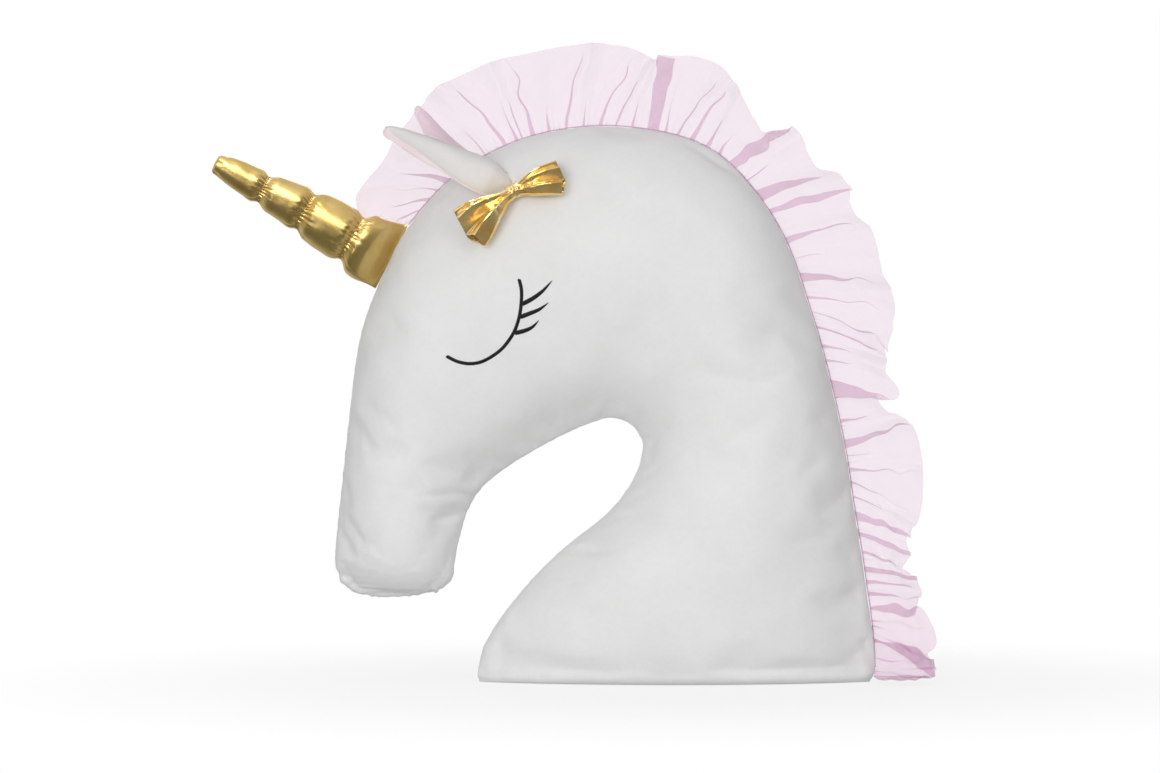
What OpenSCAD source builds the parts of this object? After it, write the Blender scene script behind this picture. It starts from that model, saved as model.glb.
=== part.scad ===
// Plush unicorn head cushion. Millimetres, +Z up, nose towards -X, near side towards -Y.
// The origin is the middle of the flat base panel, on the surface it stands on.

/* [Cushion] */
// Height of the sewn head from its base to its crown
head_h = 416; // [400:1:430]
// Full thickness of the stuffed head at its crown
crown_t = 134; // [120:1:140]
// Thickness of the velour that the side panels and the base are cut from
velour_t = 1.6; // [1.2:0.1:2]

/* [Horn] */
// Length of the horn from its seam to its tip
horn_len = 147; // [140:1:160]
// Thickness of the metallic cloth on the horn
lame_t = 0.8; // [0.6:0.1:1]
// Diameter of the threads that gather the horn into segments
gather_d = 1.8; // [1.2:0.1:2]

/* [Ears] */
// Length of an ear from its sewn base to its tip
ear_len = 92; // [80:1:100]
// Thickness of an ear's outer cloth
ear_outer_t = 2; // [1.2:0.1:2.4]
// Thickness of an ear's lining
ear_lining_t = 1.6; // [1:0.1:2]
// How far the near ear is raised above the horizontal, in degrees
near_ear_lift = 24; // [18:1:30]
// How far the far ear is raised above the horizontal, in degrees
far_ear_lift = 43; // [30:1:46]
// How far the middle of the far ear bows forward, in millimetres
far_ear_curve = 8; // [0:1:10]

/* [Mane] */
// Width of the ruffle on the crown, from its seam to its free edge
ruffle_w = 62; // [50:1:66]
// Depth of the ruffle's waves to each side of the seam
ruffle_depth = 10; // [6:1:12]
// Length of the gathered edge that makes one wave
ruffle_pitch = 26; // [22:1:34]
// Thickness given to the tulle
tulle_t = 1.6; // [1.2:0.1:2]

/* [Bow] */
// Length of the bow from one loop's end to the other
bow_len = 82; // [76:1:92]
// Width of the bow at its loops' ends
bow_w = 38; // [34:1:42]

/* [Eye] */
// Width of the embroidered lines
stroke_w = 2.4; // [1.8:0.1:3]

/* [Hidden] */

// Ribs across the head, from the base up the neck, over the crown and down to the muzzle.
// Each is [outer x, outer z, inner x, inner z, half thickness, edge power]: the outer end
// is on the nape, crown or forehead, the inner end on the chest, throat or jaw.
RIBS_FULL = [
    [150, 0, -150, 0, 50, 0.74],
    [148, 30, -145, 28, 56, 0.66],
    [143, 63, -122, 62, 60, 0.60],
    [138, 98, -89, 97, 62, 0.57],
    [132, 134, -52, 127, 62, 0.56],
    [127, 168, -33, 152, 61, 0.56],
    [118, 212, -26, 174, 61, 0.56],
    [102, 272, -29, 187, 62, 0.56],
    [75, 343, -38, 195, 64, 0.56],
    [27, 398, -51, 198, 66, 0.56],
    [-40, 416, -68, 193, 67, 0.56],
    [-105, 410, -88, 184, 67, 0.56],
    [-159, 385, -110, 172, 66, 0.56],
    [-198, 346, -129, 160, 64, 0.56],
    [-222, 302, -146, 146, 61, 0.56],
    [-238, 256, -157, 129, 57, 0.56],
    [-246, 196, -162, 112, 52, 0.56],
    [-251, 150, -165, 100, 48, 0.56],
    [-255, 112, -167, 88, 44, 0.56],
    [-256, 88, -168, 79, 37, 0.56],
    [-248, 71, -176, 70, 24, 0.56],
    [-230, 65, -192, 66, 12, 0.56],
    [-211, 64, -211, 64, 2, 0.56]
];
head_k = head_h / 416;
depth_k = crown_t / 134;
RIBS = [
    for (r = RIBS_FULL)
        [r[0] * head_k, max(r[1] * head_k, velour_t), r[2] * head_k,
         max(r[3] * head_k, velour_t), r[4] * depth_k, r[5]]
];
last_rib = len(RIBS) - 1;
panel_steps = 14;
// The hollow for the stuffing stops at this rib, just above the muzzle's lower seam
hollow_end = 21.2;
STATIONS = concat([for (i = [0 : 42]) i / 2], [hollow_end, 21.3, 21.6, 21.85]);

// ---- Curves and grids -------------------------------------------------------------

// A smooth curve through rows of any length, at row number t
function spline(rows, t) =
    let (i = max(0, min(floor(t), len(rows) - 2)))
    let (f = t - i)
    let (a = rows[max(i - 1, 0)])
    let (b = rows[i])
    let (c = rows[i + 1])
    let (d = rows[min(i + 2, len(rows) - 1)])
    0.5 * (2 * b + (c - a) * f + (2 * a - 5 * b + 4 * c - d) * f * f
        + (3 * b - a - 3 * c + d) * f * f * f);

function unit(v) = v / norm(v);

function flat(lists) = [for (l = lists) each l];

// Faces of a grid of points: cols points in a row, wrapped round if it is a tube
function grid_faces(rows, cols, start, wrap, flip) =
    let (last = wrap ? cols - 1 : cols - 2)
    [
        for (i = [0 : rows - 2])
            for (j = [0 : last])
                let (a = start + i * cols + j)
                let (b = start + i * cols + (j + 1) % cols)
                let (c = b + cols)
                let (d = a + cols)
                each flip ? [[a, b, c], [a, c, d]] : [[a, c, b], [a, d, c]]
    ];

// Triangles that join two index lists of the same length
function wall(first, second) = [
    for (i = [0 : len(first) - 2])
        each [[first[i], second[i], second[i + 1]], [first[i], second[i + 1], first[i + 1]]]
];

// A solid between an upper and a lower grid of points
module slab(upper, lower, wrap = false) {
    rows = len(upper);
    cols = len(upper[0]);
    n = rows * cols;
    near_row = [for (j = [0 : cols - 1]) j];
    far_row = [for (j = [0 : cols - 1]) (rows - 1) * cols + j];
    near_loop = wrap ? concat(near_row, [0]) : near_row;
    far_loop = wrap ? concat(far_row, [far_row[0]]) : far_row;
    left = [for (i = [0 : rows - 1]) i * cols];
    right = [for (i = [0 : rows - 1]) i * cols + cols - 1];
    sides = wrap ? [] : concat(wall(left, [for (i = left) i + n]),
        wall([for (i = right) i + n], right));
    polyhedron(
        points = concat(flat(upper), flat(lower)),
        faces = concat(
            grid_faces(rows, cols, 0, wrap, false),
            grid_faces(rows, cols, n, wrap, true),
            wall([for (i = near_loop) i + n], near_loop),
            wall(far_loop, [for (i = far_loop) i + n]),
            sides
        )
    );
}

// A solid swept through closed rings of points, with a flat cap at each end
module loft(rings) {
    rows = len(rings);
    cols = len(rings[0]);
    polyhedron(
        points = flat(rings),
        faces = concat(
            grid_faces(rows, cols, 0, true, false),
            [[for (j = [0 : cols - 1]) j]],
            [[for (j = [cols - 1 : -1 : 0]) (rows - 1) * cols + j]]
        )
    );
}

// ---- The stuffed head --------------------------------------------------------------

// Points across the head at rib s, on one side of the seam plane, inset by the cloth
function rib_row(s, side, inset) =
    let (r = spline(RIBS, s))
    let (o = [r[0], r[1]])
    let (i = [r[2], r[3]])
    let (step = unit(i - o) * inset)
    let (depth = inset > 0 && s > hollow_end ? 0 : r[4] - inset)
    [
        for (j = [0 : panel_steps])
            let (a = 180 * j / panel_steps)
            let (p = o + step + (i - o - 2 * step) * (1 - cos(a)) / 2)
            [p[0], side * depth * (sin(a) <= 0 ? 0 : pow(sin(a), 2 * r[5])), p[1]]
    ];

// Half thickness of the head at a place on its side, found between two ribs
function side_of(s, p) =
    let (r = spline(RIBS, s))
    (r[2] - r[0]) * (p[1] - r[1]) - (r[3] - r[1]) * (p[0] - r[0]);

function along(s, p) =
    let (r = spline(RIBS, s))
    let (v = [r[2] - r[0], r[3] - r[1]])
    (p - [r[0], r[1]]) * v / (v * v);

search_step = 0.25;
function rib_at(p) =
    [
        for (s = [0 : search_step : last_rib - 1])
            let (a = side_of(s, p))
            let (b = side_of(s + search_step, p))
            if (a * b <= 0 && a != b && along(s, p) > -0.1 && along(s, p) < 1.1)
                s + search_step * a / (a - b)
    ][0];

function head_half(p) =
    let (s = rib_at(p))
    let (r = spline(RIBS, s))
    let (u = min(max(along(s, p), 0.001), 0.999))
    r[4] * pow(1 - pow(2 * u - 1, 2), r[5]);

// Outward normal of the near side at a place, from the slope of its half thickness
function near_normal(p) =
    let (e = 1)
    let (dx = (head_half(p + [e, 0]) - head_half(p - [e, 0])) / (2 * e))
    let (dz = (head_half(p + [0, e]) - head_half(p - [0, e])) / (2 * e))
    unit([-dx, -1, -dz]);

// The near panel's rows run the other way, so its triangles match those of the filling
function panel_row(s, side, inset) =
    let (row = rib_row(s, side, inset))
    side < 0 ? [for (j = [panel_steps : -1 : 0]) row[j]] : row;

module side_panel(side) {
    slab(
        [for (s = STATIONS) panel_row(s, side, 0)],
        [for (s = STATIONS) panel_row(s, side, velour_t)]
    );
}

module near_side_panel() {
    color("white") side_panel(-1);
}

module far_side_panel() {
    color("white") side_panel(1);
}

module base_panel() {
    near_edge = rib_row(0, -1, 0);
    far_edge = rib_row(0, 1, 0);
    outline = concat(
        [for (p = near_edge) [p[0], p[1]]],
        [for (j = [panel_steps - 1 : -1 : 1]) [far_edge[j][0], far_edge[j][1]]]
    );
    color("white") linear_extrude(velour_t) polygon(outline);
}

module body_filling() {
    color("snow") loft([
        for (s = STATIONS)
            if (s <= hollow_end)
                let (near = rib_row(s, -1, velour_t))
                let (far = rib_row(s, 1, velour_t))
                concat(far, [for (j = [panel_steps - 1 : -1 : 1]) near[j]])
    ]);
}

// Ladder stitches across the seam between the far panel and the base
closing_span = 72;
closing_step = 9;
thread_d = 0.9;
module closing_stitches() {
    stitch_h = 4;
    stitch_lean = 4;
    stand_off = 1.2;
    color("gainsboro")
        for (x = [-closing_span / 2 : closing_step : closing_span / 2])
            translate([x, head_half([x, velour_t + stitch_h / 2]) + stand_off, velour_t / 2])
                rotate([stitch_lean, 0, 0]) cylinder(h = stitch_h, d = thread_d, $fn = 16);
}

// ---- Embroidered eye ----------------------------------------------------------------

EYELID = [
    [-117.5, 300.5], [-115.7, 292], [-116, 281.5], [-117.8, 271], [-121.8, 260.5], [-129, 250.5],
    [-137, 244], [-146, 239.5], [-154.5, 238.4], [-163, 240], [-171, 244]
];
LASHES = [
    [[-113.4, 282.8], [-104, 288.6], [-93.4, 298.9]],
    [[-115, 273.2], [-105.5, 277], [-96.3, 282.7]],
    [[-119, 261.4], [-111.2, 263.6], [-103.3, 269.6]]
];
stroke_h = 1;
cloth_gap = 0.1;

// A raised line of stitching along a path on the near side, narrowing to tip_k at its end
module stroke(path, steps, tip_k) {
    stops = [for (i = [0 : steps]) (len(path) - 1) * i / steps];
    centres = [for (t = stops) spline(path, t)];
    rows = [
        for (i = [0 : steps])
            let (v = unit(centres[min(i + 1, steps)] - centres[max(i - 1, 0)]))
            let (half_w = stroke_w / 2 * (1 + (tip_k - 1) * i / steps))
            [for (side = [-1, 0, 1]) centres[i] + [-v[1], v[0]] * half_w * side]
    ];
    function lift(p, extra) = [p[0], -head_half(p) - cloth_gap - extra, p[1]];
    top = [for (row = rows) [for (j = [0 : 2]) lift(row[j], j == 1 ? stroke_h : stroke_h / 2)]];
    bottom = [for (row = rows) [for (j = [0 : 2]) lift(row[j], 0)]];
    slab(bottom, top);
}

module eyelid() {
    scaled = [for (p = EYELID) p * head_k];
    color("black") stroke(scaled, 30, 0.8);
}

module lashes() {
    color("black")
        for (lash = LASHES)
            stroke([for (p = lash) p * head_k], 8, 0.35);
}

module near_eyelid_stitch() { eyelid(); }
module near_lash_stitches() { lashes(); }
module far_eyelid_stitch() { mirror([0, 1, 0]) eyelid(); }
module far_lash_stitches() { mirror([0, 1, 0]) lashes(); }

// ---- Mane ---------------------------------------------------------------------------

mane_top = 12.98;
mane_split = 8;
mane_foot = 0.4;
seam_step = 0.1;
seam_gap = 1.6;
split_gap = 0.6;
probe = 0.05;

function outline_point(s) =
    let (r = spline(RIBS, s))
    [r[0], r[1]];

function outline_normal(s) =
    let (v = unit(outline_point(s + probe) - outline_point(s - probe)))
    [v[1], -v[0]];

// Length along the seam from the base corner up to each rib
seam_count = round(mane_top / seam_step);
SEAM_LENGTHS = [
    for (i = 0, total = 0;
         i <= seam_count;
         total = total + norm(outline_point((i + 1) * seam_step) - outline_point(i * seam_step)),
         i = i + 1)
        [total, i * seam_step]
];
function rib_at_length(a) = lookup(a, SEAM_LENGTHS);
function length_at_rib(s) = lookup(s, [for (p = SEAM_LENGTHS) [p[1], p[0]]]);

// Width of the ruffle at each rib, as a share of its width on the crown
RUFFLE_WIDTH = [
    [0, 0.72], [2, 0.70], [3, 0.72], [4, 0.80], [5, 0.90], [6, 0.88], [7, 0.98], [8, 0.88],
    [9, 0.97], [10, 1], [11, 1], [12, 0.92], [12.5, 0.78], [12.98, 0.66]
];
ROW_SHARES = [0, 0.35, 0.7, 1];

// Columns of the ruffle: [root point, outward direction, wave direction, width, depth, turn]
function seam_column(a) =
    let (s = rib_at_length(a))
    let (n = outline_normal(s))
    let (p = outline_point(s) + n * seam_gap)
    [[p[0], 0, p[1]], [n[0], 0, n[1]], [0, 1, 0], ruffle_w * lookup(s, RUFFLE_WIDTH),
     ruffle_depth, 360 * a / ruffle_pitch];

// The loose end turns from the seam onto the surface below and runs along it
tail_r = 8;
tail_z = 4.4;
tail_run = 36;
tail_depth = 2.6;
tail_foot_w = 22;
tail_drift = 4;
drop_share = 0.2;
bend_share = 0.4;
quarter_turn = 90;
function tail_column(t) =
    let (bend = quarter_turn * min(1, t / bend_share))
    let (run = tail_run * max(0, (t - bend_share) / (1 - bend_share)))
    let (start = seam_column(length_at_rib(mane_foot)))
    let (wide = start[3] + (tail_foot_w - start[3]) * t)
    let (deep = ruffle_depth + (tail_depth - ruffle_depth) * bend / quarter_turn)
    let (bent = tail_r * bend * PI / 180)
    [[start[0][0] + tail_drift * t, -tail_r * (1 - cos(bend)) - run,
      start[0][2] + (tail_z + tail_r - start[0][2]) * min(1, t / drop_share)
          - tail_r * sin(bend)],
     [1, 0, 0], [0, cos(bend), -sin(bend)], wide, deep,
     start[5] - 360 * (bent + run) / ruffle_pitch];

wave_power = 1.2;
function ruffle_row(c, side) = [
    for (share = ROW_SHARES)
        c[0] + c[1] * c[3] * share
            + c[2] * (c[4] * pow(share, wave_power) * sin(c[5]) + side * tulle_t / 2)
];

module ruffle(columns) {
    slab([for (c = columns) ruffle_row(c, 1)], [for (c = columns) ruffle_row(c, -1)]);
}

columns_per_wave = 8;
column_gap = ruffle_pitch / columns_per_wave;
split_length = length_at_rib(mane_split);
foot_length = length_at_rib(mane_foot);
top_length = length_at_rib(mane_top);

module mane_crown_ruffle() {
    count = round((top_length - split_length) / column_gap);
    first = split_length + split_gap;
    color("thistle")
        ruffle([for (i = [count : -1 : 0]) seam_column(first + (top_length - first) * i / count)]);
}

module mane_nape_ruffle() {
    count = round((split_length - foot_length) / column_gap);
    tail_count = 20;
    seam_part = [
        for (i = [count : -1 : 0]) seam_column(foot_length + (split_length - foot_length) * i / count)
    ];
    tail_part = [for (i = [1 : tail_count]) tail_column(i / tail_count)];
    color("thistle") ruffle(concat(seam_part, tail_part));
}

module mane_gathering_thread() {
    rings = 70;
    sides = 6;
    clear = 0.15;
    color("plum") loft([
        for (i = [0 : rings])
            let (s = rib_at_length(foot_length + (top_length - foot_length) * i / rings))
            let (n = outline_normal(s))
            let (p = outline_point(s) + n * (thread_d / 2 + clear))
            [
                for (j = [0 : sides - 1])
                    let (a = 360 * j / sides)
                    [p[0] + n[0] * cos(a) * thread_d / 2, sin(a) * thread_d / 2,
                     p[1] + n[1] * cos(a) * thread_d / 2]
            ]
    ]);
}

// ---- Horn ---------------------------------------------------------------------------

// Sections of the horn: [distance from its seam, half width, half depth]. The cloth is
// flat where the head's seam holds it, and each of the three rings is round.
HORN_SECTIONS = [
    [0, 26, 1.4], [7, 25.5, 10.5], [15, 23.8, 16.3], [23, 21.6, 18.6], [30, 19, 19],
    [36, 20.8, 20.8], [44, 21.2, 21.2], [56, 20, 20], [65, 17.8, 17.8], [71.5, 15.4, 15.4],
    [78, 16.8, 16.8], [88, 16.2, 16.2], [99, 13.8, 13.8], [108, 10.8, 10.8],
    [114, 11.8, 11.8], [126, 12, 12], [138, 10.8, 10.8], [146, 8, 8], [150, 3.6, 3.6],
    [151, 1.2, 1.2]
];
lower_ring = 4;
middle_ring = 9;
upper_ring = 13;
horn_k = horn_len / 151;
horn_sides = 18;
horn_seam_rib = 13.63;
horn_seam_half = 0.5;
horn_gap = 2.6;
horn_seat = 0.3;

horn_along = unit(outline_point(horn_seam_rib - horn_seam_half)
    - outline_point(horn_seam_rib + horn_seam_half));
horn_out = [-horn_along[1], horn_along[0]];
horn_root = outline_point(horn_seam_rib) + horn_out * horn_gap;

module horn_frame() {
    multmatrix([
        [horn_along[0], 0, horn_out[0], horn_root[0]],
        [0, 1, 0, 0],
        [horn_along[1], 0, horn_out[1], horn_root[1]]
    ]) children();
}

function horn_ring(t, inset) =
    let (row = spline(HORN_SECTIONS, t))
    [
        for (j = [0 : horn_sides - 1])
            let (a = 360 * j / horn_sides)
            [(row[1] - inset) * cos(a), (row[2] - inset) * sin(a),
             horn_seat + row[0] * horn_k]
    ];

horn_stops = [for (i = [0 : 2 * (len(HORN_SECTIONS) - 1)]) i / 2];

module horn_cover() {
    outer = [for (t = horn_stops) horn_ring(t, 0)];
    inner = [for (t = horn_stops) horn_ring(t, lame_t)];
    color("goldenrod") horn_frame() slab(outer, inner, wrap = true);
}

module horn_filling() {
    color("snow") horn_frame() loft([for (t = horn_stops) horn_ring(t, lame_t)]);
}

module gather_ring(index) {
    section = HORN_SECTIONS[index];
    clear = 0.15;
    color("darkgoldenrod") horn_frame()
        translate([0, 0, horn_seat + section[0] * horn_k])
            rotate_extrude($fn = 72)
                translate([section[1] + clear + gather_d / 2, 0]) circle(d = gather_d, $fn = 24);
}

module horn_gather_thread_lower() { gather_ring(lower_ring); }
module horn_gather_thread_middle() { gather_ring(middle_ring); }
module horn_gather_thread_upper() { gather_ring(upper_ring); }

// ---- Ears ---------------------------------------------------------------------------

// Leaf shape of an ear: [distance from its base, lower edge, upper edge]
EAR_LEAF = [
    [1.2, -12, 9], [8, -18.5, 11], [20, -21, 11], [32, -19, 9.6], [45, -16, 8], [60, -13, 6.8],
    [75, -10, 5.8], [88, -6, 4.4], [94, -2, 1.6]
];
ear_leaf_len = 94;
ear_k = ear_len / ear_leaf_len;
ear_cup = 5;
ear_roll = 28;
ear_stand_off = 3.2;
near_ear_splay = 3;
far_ear_splay = 14;
ear_cols = 8;
ear_place = [-131.5, 374] * head_k;
ear_base = [ear_place[0], -head_half(ear_place), ear_place[1]]
    + near_normal(ear_place) * ear_stand_off;

// Directions of an ear on the near side: along it, up its blade and out of its back.
// A curved ear bows away from its upper edge between its base and its tip.
function ear_axis(lift, splay) = [-cos(lift) * cos(splay), -sin(splay), sin(lift) * cos(splay)];
function ear_blade(lift, splay) =
    let (up = [sin(lift), 0, cos(lift)])
    unit(up * cos(ear_roll) - cross(up, ear_axis(lift, splay)) * sin(ear_roll));
function ear_back(lift, splay) = unit(cross(ear_blade(lift, splay), ear_axis(lift, splay)));

function ear_grid(lift, splay, curve, offset) =
    let (a = ear_axis(lift, splay))
    let (n = ear_blade(lift, splay))
    let (back = ear_back(lift, splay))
    [
        for (i = [0 : 2 * (len(EAR_LEAF) - 1)])
            let (leaf = spline(EAR_LEAF, i / 2))
            let (mid = (leaf[1] + leaf[2]) / 2)
            let (half = (leaf[2] - leaf[1]) / 2)
            let (cup = ear_cup * min(1, half / 8))
            [
                for (j = [0 : ear_cols])
                    let (v = 2 * j / ear_cols - 1)
                    ear_base + a * leaf[0] * ear_k + n * (mid + half * v) * ear_k
                        + back * (cup * (1 - v * v) + offset)
                        - n * curve * sin(180 * leaf[0] / ear_leaf_len)
            ]
    ];

module ear_outer(lift, splay, curve = 0) {
    color("white") slab(ear_grid(lift, splay, curve, ear_outer_t), ear_grid(lift, splay, curve, 0));
}

module ear_lining(lift, splay, curve = 0) {
    color("mistyrose")
        slab(ear_grid(lift, splay, curve, 0), ear_grid(lift, splay, curve, -ear_lining_t));
}

// Hand stitches on the head, just behind the ear's base line
module ear_stitches(lift, splay) {
    a = ear_axis(lift, splay);
    n = ear_blade(lift, splay);
    stitch_len = 3;
    stitch_pitch = 3.6;
    stitch_back = 4;
    stand_off = thread_d / 2 + 0.6;
    color("gainsboro")
        for (i = [-2 : 2]) {
            foot = ear_base + n * i * stitch_pitch - a * stitch_back;
            p = [foot[0], foot[2]];
            translate([p[0], -head_half(p), p[1]] + near_normal(p) * stand_off)
                rotate([0, lift - 90, 0])
                    cylinder(h = stitch_len, d = thread_d, center = true, $fn = 16);
        }
}

module near_ear_outer() { ear_outer(near_ear_lift, near_ear_splay); }
module near_ear_lining() { ear_lining(near_ear_lift, near_ear_splay); }
module near_ear_stitches() { ear_stitches(near_ear_lift, near_ear_splay); }
module far_ear_outer() { mirror([0, 1, 0]) ear_outer(far_ear_lift, far_ear_splay, far_ear_curve); }
module far_ear_lining() { mirror([0, 1, 0]) ear_lining(far_ear_lift, far_ear_splay, far_ear_curve); }
module far_ear_stitches() { mirror([0, 1, 0]) ear_stitches(far_ear_lift, far_ear_splay); }

// ---- Bow ----------------------------------------------------------------------------

bow_place = [-120, 361] * head_k;
bow_tilt = 31;
bow_height = 9.6;
wrap_r = 6;
wrap_inner_r = 4.5;
wrap_len = 9;
tack_r = 1.2;
pivot_gap = 0.3;

bow_normal = near_normal(bow_place);
bow_surface = [bow_place[0], -head_half(bow_place), bow_place[1]];
bow_centre = bow_surface + bow_normal * bow_height;
bow_level = [cos(bow_tilt), 0, sin(bow_tilt)];
bow_across = unit(cross(bow_normal, bow_level));
bow_axis = cross(bow_across, bow_normal);

module bow_frame() {
    multmatrix([
        [bow_axis[0], bow_across[0], bow_normal[0], bow_centre[0]],
        [bow_axis[1], bow_across[1], bow_normal[1], bow_centre[1]],
        [bow_axis[2], bow_across[2], bow_normal[2], bow_centre[2]]
    ]) children();
}

// Sections of one loop: [share of the half length, half width share, half thickness]
LOOP_SECTIONS = [
    [0, 0.19, 3.4], [0.12, 0.20, 3.4], [0.3, 0.42, 5.4], [0.55, 0.72, 7], [0.8, 0.94, 6.2],
    [1, 1, 3.2]
];
loop_sides = 12;
loop_droop = 7;
right_loop_k = 0.72;

function loop_ring(t, side) =
    let (row = spline(LOOP_SECTIONS, t))
    let (wide_k = 1 + (right_loop_k - 1) * (side > 0 ? row[0] : 0))
    [
        for (j = [0 : loop_sides - 1])
            let (a = 360 * j / loop_sides)
            [side * row[0] * bow_len / 2,
             row[1] * wide_k * bow_w / 2 * cos(a) - loop_droop * row[0] * row[0],
             row[2] * sin(a)]
    ];

module bow_loops() {
    last = len(LOOP_SECTIONS) - 1;
    left = [for (i = [2 * last : -1 : 1]) loop_ring(i / 2, -1)];
    right = [for (i = [0 : 2 * last]) loop_ring(i / 2, 1)];
    color("gold") bow_frame() loft(concat(left, right));
}

module bow_knot_wrap() {
    color("gold") bow_frame()
        rotate([0, 90, 0])
            difference() {
                cylinder(h = wrap_len, r = wrap_r, center = true, $fn = 48);
                cylinder(h = wrap_len + 2, r = wrap_inner_r, center = true, $fn = 48);
            }
}

module bow_tack_thread() {
    color("gainsboro") bow_frame()
        translate([0, 0, cloth_gap - bow_height])
            cylinder(h = bow_height - wrap_r - pivot_gap - cloth_gap, r = tack_r, $fn = 32);
}

near_side_panel();
far_side_panel();
base_panel();
body_filling();
closing_stitches();
near_eyelid_stitch();
near_lash_stitches();
far_eyelid_stitch();
far_lash_stitches();
mane_crown_ruffle();
mane_nape_ruffle();
mane_gathering_thread();
horn_cover();
horn_filling();
horn_gather_thread_lower();
horn_gather_thread_middle();
horn_gather_thread_upper();
near_ear_outer();
near_ear_lining();
near_ear_stitches();
far_ear_outer();
far_ear_lining();
far_ear_stitches();
bow_loops();
bow_knot_wrap();
bow_tack_thread();
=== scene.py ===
"""Plush unicorn head cushion: its looks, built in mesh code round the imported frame, in metres."""

import math

import bmesh
import bpy
import numpy as np
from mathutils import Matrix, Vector
from mathutils.bvhtree import BVHTree


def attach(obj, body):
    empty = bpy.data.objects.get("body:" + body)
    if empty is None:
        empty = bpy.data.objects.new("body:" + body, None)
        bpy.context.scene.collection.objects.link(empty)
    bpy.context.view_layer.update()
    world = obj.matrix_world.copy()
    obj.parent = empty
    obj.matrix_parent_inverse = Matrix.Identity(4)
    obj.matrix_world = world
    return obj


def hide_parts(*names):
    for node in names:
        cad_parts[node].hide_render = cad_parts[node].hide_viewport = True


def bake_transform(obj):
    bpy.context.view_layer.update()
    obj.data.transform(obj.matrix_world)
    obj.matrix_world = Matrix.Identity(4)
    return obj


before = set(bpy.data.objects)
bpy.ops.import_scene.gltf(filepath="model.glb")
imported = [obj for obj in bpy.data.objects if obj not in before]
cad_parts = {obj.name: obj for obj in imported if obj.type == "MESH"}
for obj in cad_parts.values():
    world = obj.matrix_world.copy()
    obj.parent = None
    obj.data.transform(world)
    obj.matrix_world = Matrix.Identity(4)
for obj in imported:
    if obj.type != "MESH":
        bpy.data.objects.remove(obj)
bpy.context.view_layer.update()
MM = 0.001
NEAR, FAR = -1, 1


# ---- Curves, noise and meshes ----------------------------------------------------------


def spline(rows, t):
    """A smooth curve through rows, at row numbers t."""
    rows, t = np.asarray(rows, float), np.asarray(t, float)
    if rows.ndim == 1:
        return spline(rows[:, None], t)[..., 0]
    i = np.clip(np.floor(t), 0, len(rows) - 2).astype(int)
    f = (t - i)[..., None]
    a, b = rows[np.maximum(i - 1, 0)], rows[i]
    c, d = rows[i + 1], rows[np.minimum(i + 2, len(rows) - 1)]
    bent = 2 * a - 5 * b + 4 * c - d
    return 0.5 * (2 * b + (c - a) * f + bent * f * f + (3 * b - a - 3 * c + d) * f**3)


def unit(v):
    v = np.asarray(v, float)
    return v / np.maximum(np.linalg.norm(v, axis=-1, keepdims=True), 1e-12)


def smoothstep(x, lo, hi):
    t = np.clip((np.asarray(x, float) - lo) / (hi - lo), 0, 1)
    return t * t * (3 - 2 * t)


def ripple(points, wavelength, seed, count=24):
    """Smooth noise of about that wavelength and about unit height, the same on every run."""
    rng = np.random.default_rng(seed)
    dims = points.shape[-1]
    ways = unit(rng.normal(size=(count, dims)))
    ways *= (2 * np.pi / (wavelength * rng.uniform(0.7, 1.4, count)))[:, None]
    phase = rng.uniform(0, 2 * np.pi, count)
    return np.sin(points @ ways.T + phase).sum(-1) / math.sqrt(count / 2)


def ripple_1d(x, wavelength, seed, count=9):
    return ripple(np.asarray(x, float)[..., None], wavelength, seed, count)


def lengths_along(points):
    """How far along a row of points each of them is."""
    return np.concatenate([[0], np.cumsum(np.linalg.norm(np.diff(points, axis=0), axis=1))])


def half_turns(angle):
    """The same angle, brought between minus and plus half a turn."""
    return (angle + np.pi) % (2 * np.pi) - np.pi


def grid_faces(rows, cols, wrap=False, start=0, flip=False):
    """Four-sided faces over a grid of vertices; wrap joins its last column to its first."""
    i = np.arange(rows - 1)[:, None]
    j = np.arange(cols if wrap else cols - 1)[None, :]
    a = start + i * cols + j
    b = start + i * cols + (j + 1) % cols
    faces = np.stack([a, b, b + cols, a + cols], -1).reshape(-1, 4)
    return faces[:, ::-1] if flip else faces


def capped_faces(rows, cols):
    """Faces of a closed form made of rings, with one face over each end."""
    ends = [list(range(cols))[::-1], [(rows - 1) * cols + j for j in range(cols)]]
    return grid_faces(rows, cols, wrap=True).tolist() + ends


def placed(name, data):
    """A new object in the scene."""
    obj = bpy.data.objects.new(name, data)
    bpy.context.scene.collection.objects.link(obj)
    return obj


def make_piece(name, verts, faces, material, uvs=None):
    """A smooth mesh object; verts are in metres, faces are index rows of any length."""
    mesh = bpy.data.meshes.new(name)
    mesh.from_pydata(np.asarray(verts, float).tolist(), [], [list(map(int, f)) for f in faces])
    mesh.update()
    mesh.shade_smooth()
    if uvs is not None:
        layer = mesh.uv_layers.new(name="cloth")
        loops = np.zeros(len(mesh.loops), int)
        mesh.loops.foreach_get("vertex_index", loops)
        layer.data.foreach_set("uv", np.asarray(uvs, np.float32)[loops].ravel())
    mesh.materials.append(material)
    return placed(name, mesh)


def vertex_rows(obj, what):
    out = np.zeros(len(obj.data.vertices) * 3)
    obj.data.vertices.foreach_get(what, out)
    return out.reshape(-1, 3)


def coords(obj):
    return vertex_rows(obj, "co")


def normals(obj):
    return vertex_rows(obj, "normal")


def set_coords(obj, co):
    obj.data.vertices.foreach_set("co", np.asarray(co, np.float32).ravel())
    obj.data.update()


def apply_modifiers(obj):
    graph = bpy.context.evaluated_depsgraph_get()
    obj.data = bpy.data.meshes.new_from_object(obj.evaluated_get(graph))
    obj.modifiers.clear()


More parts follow.
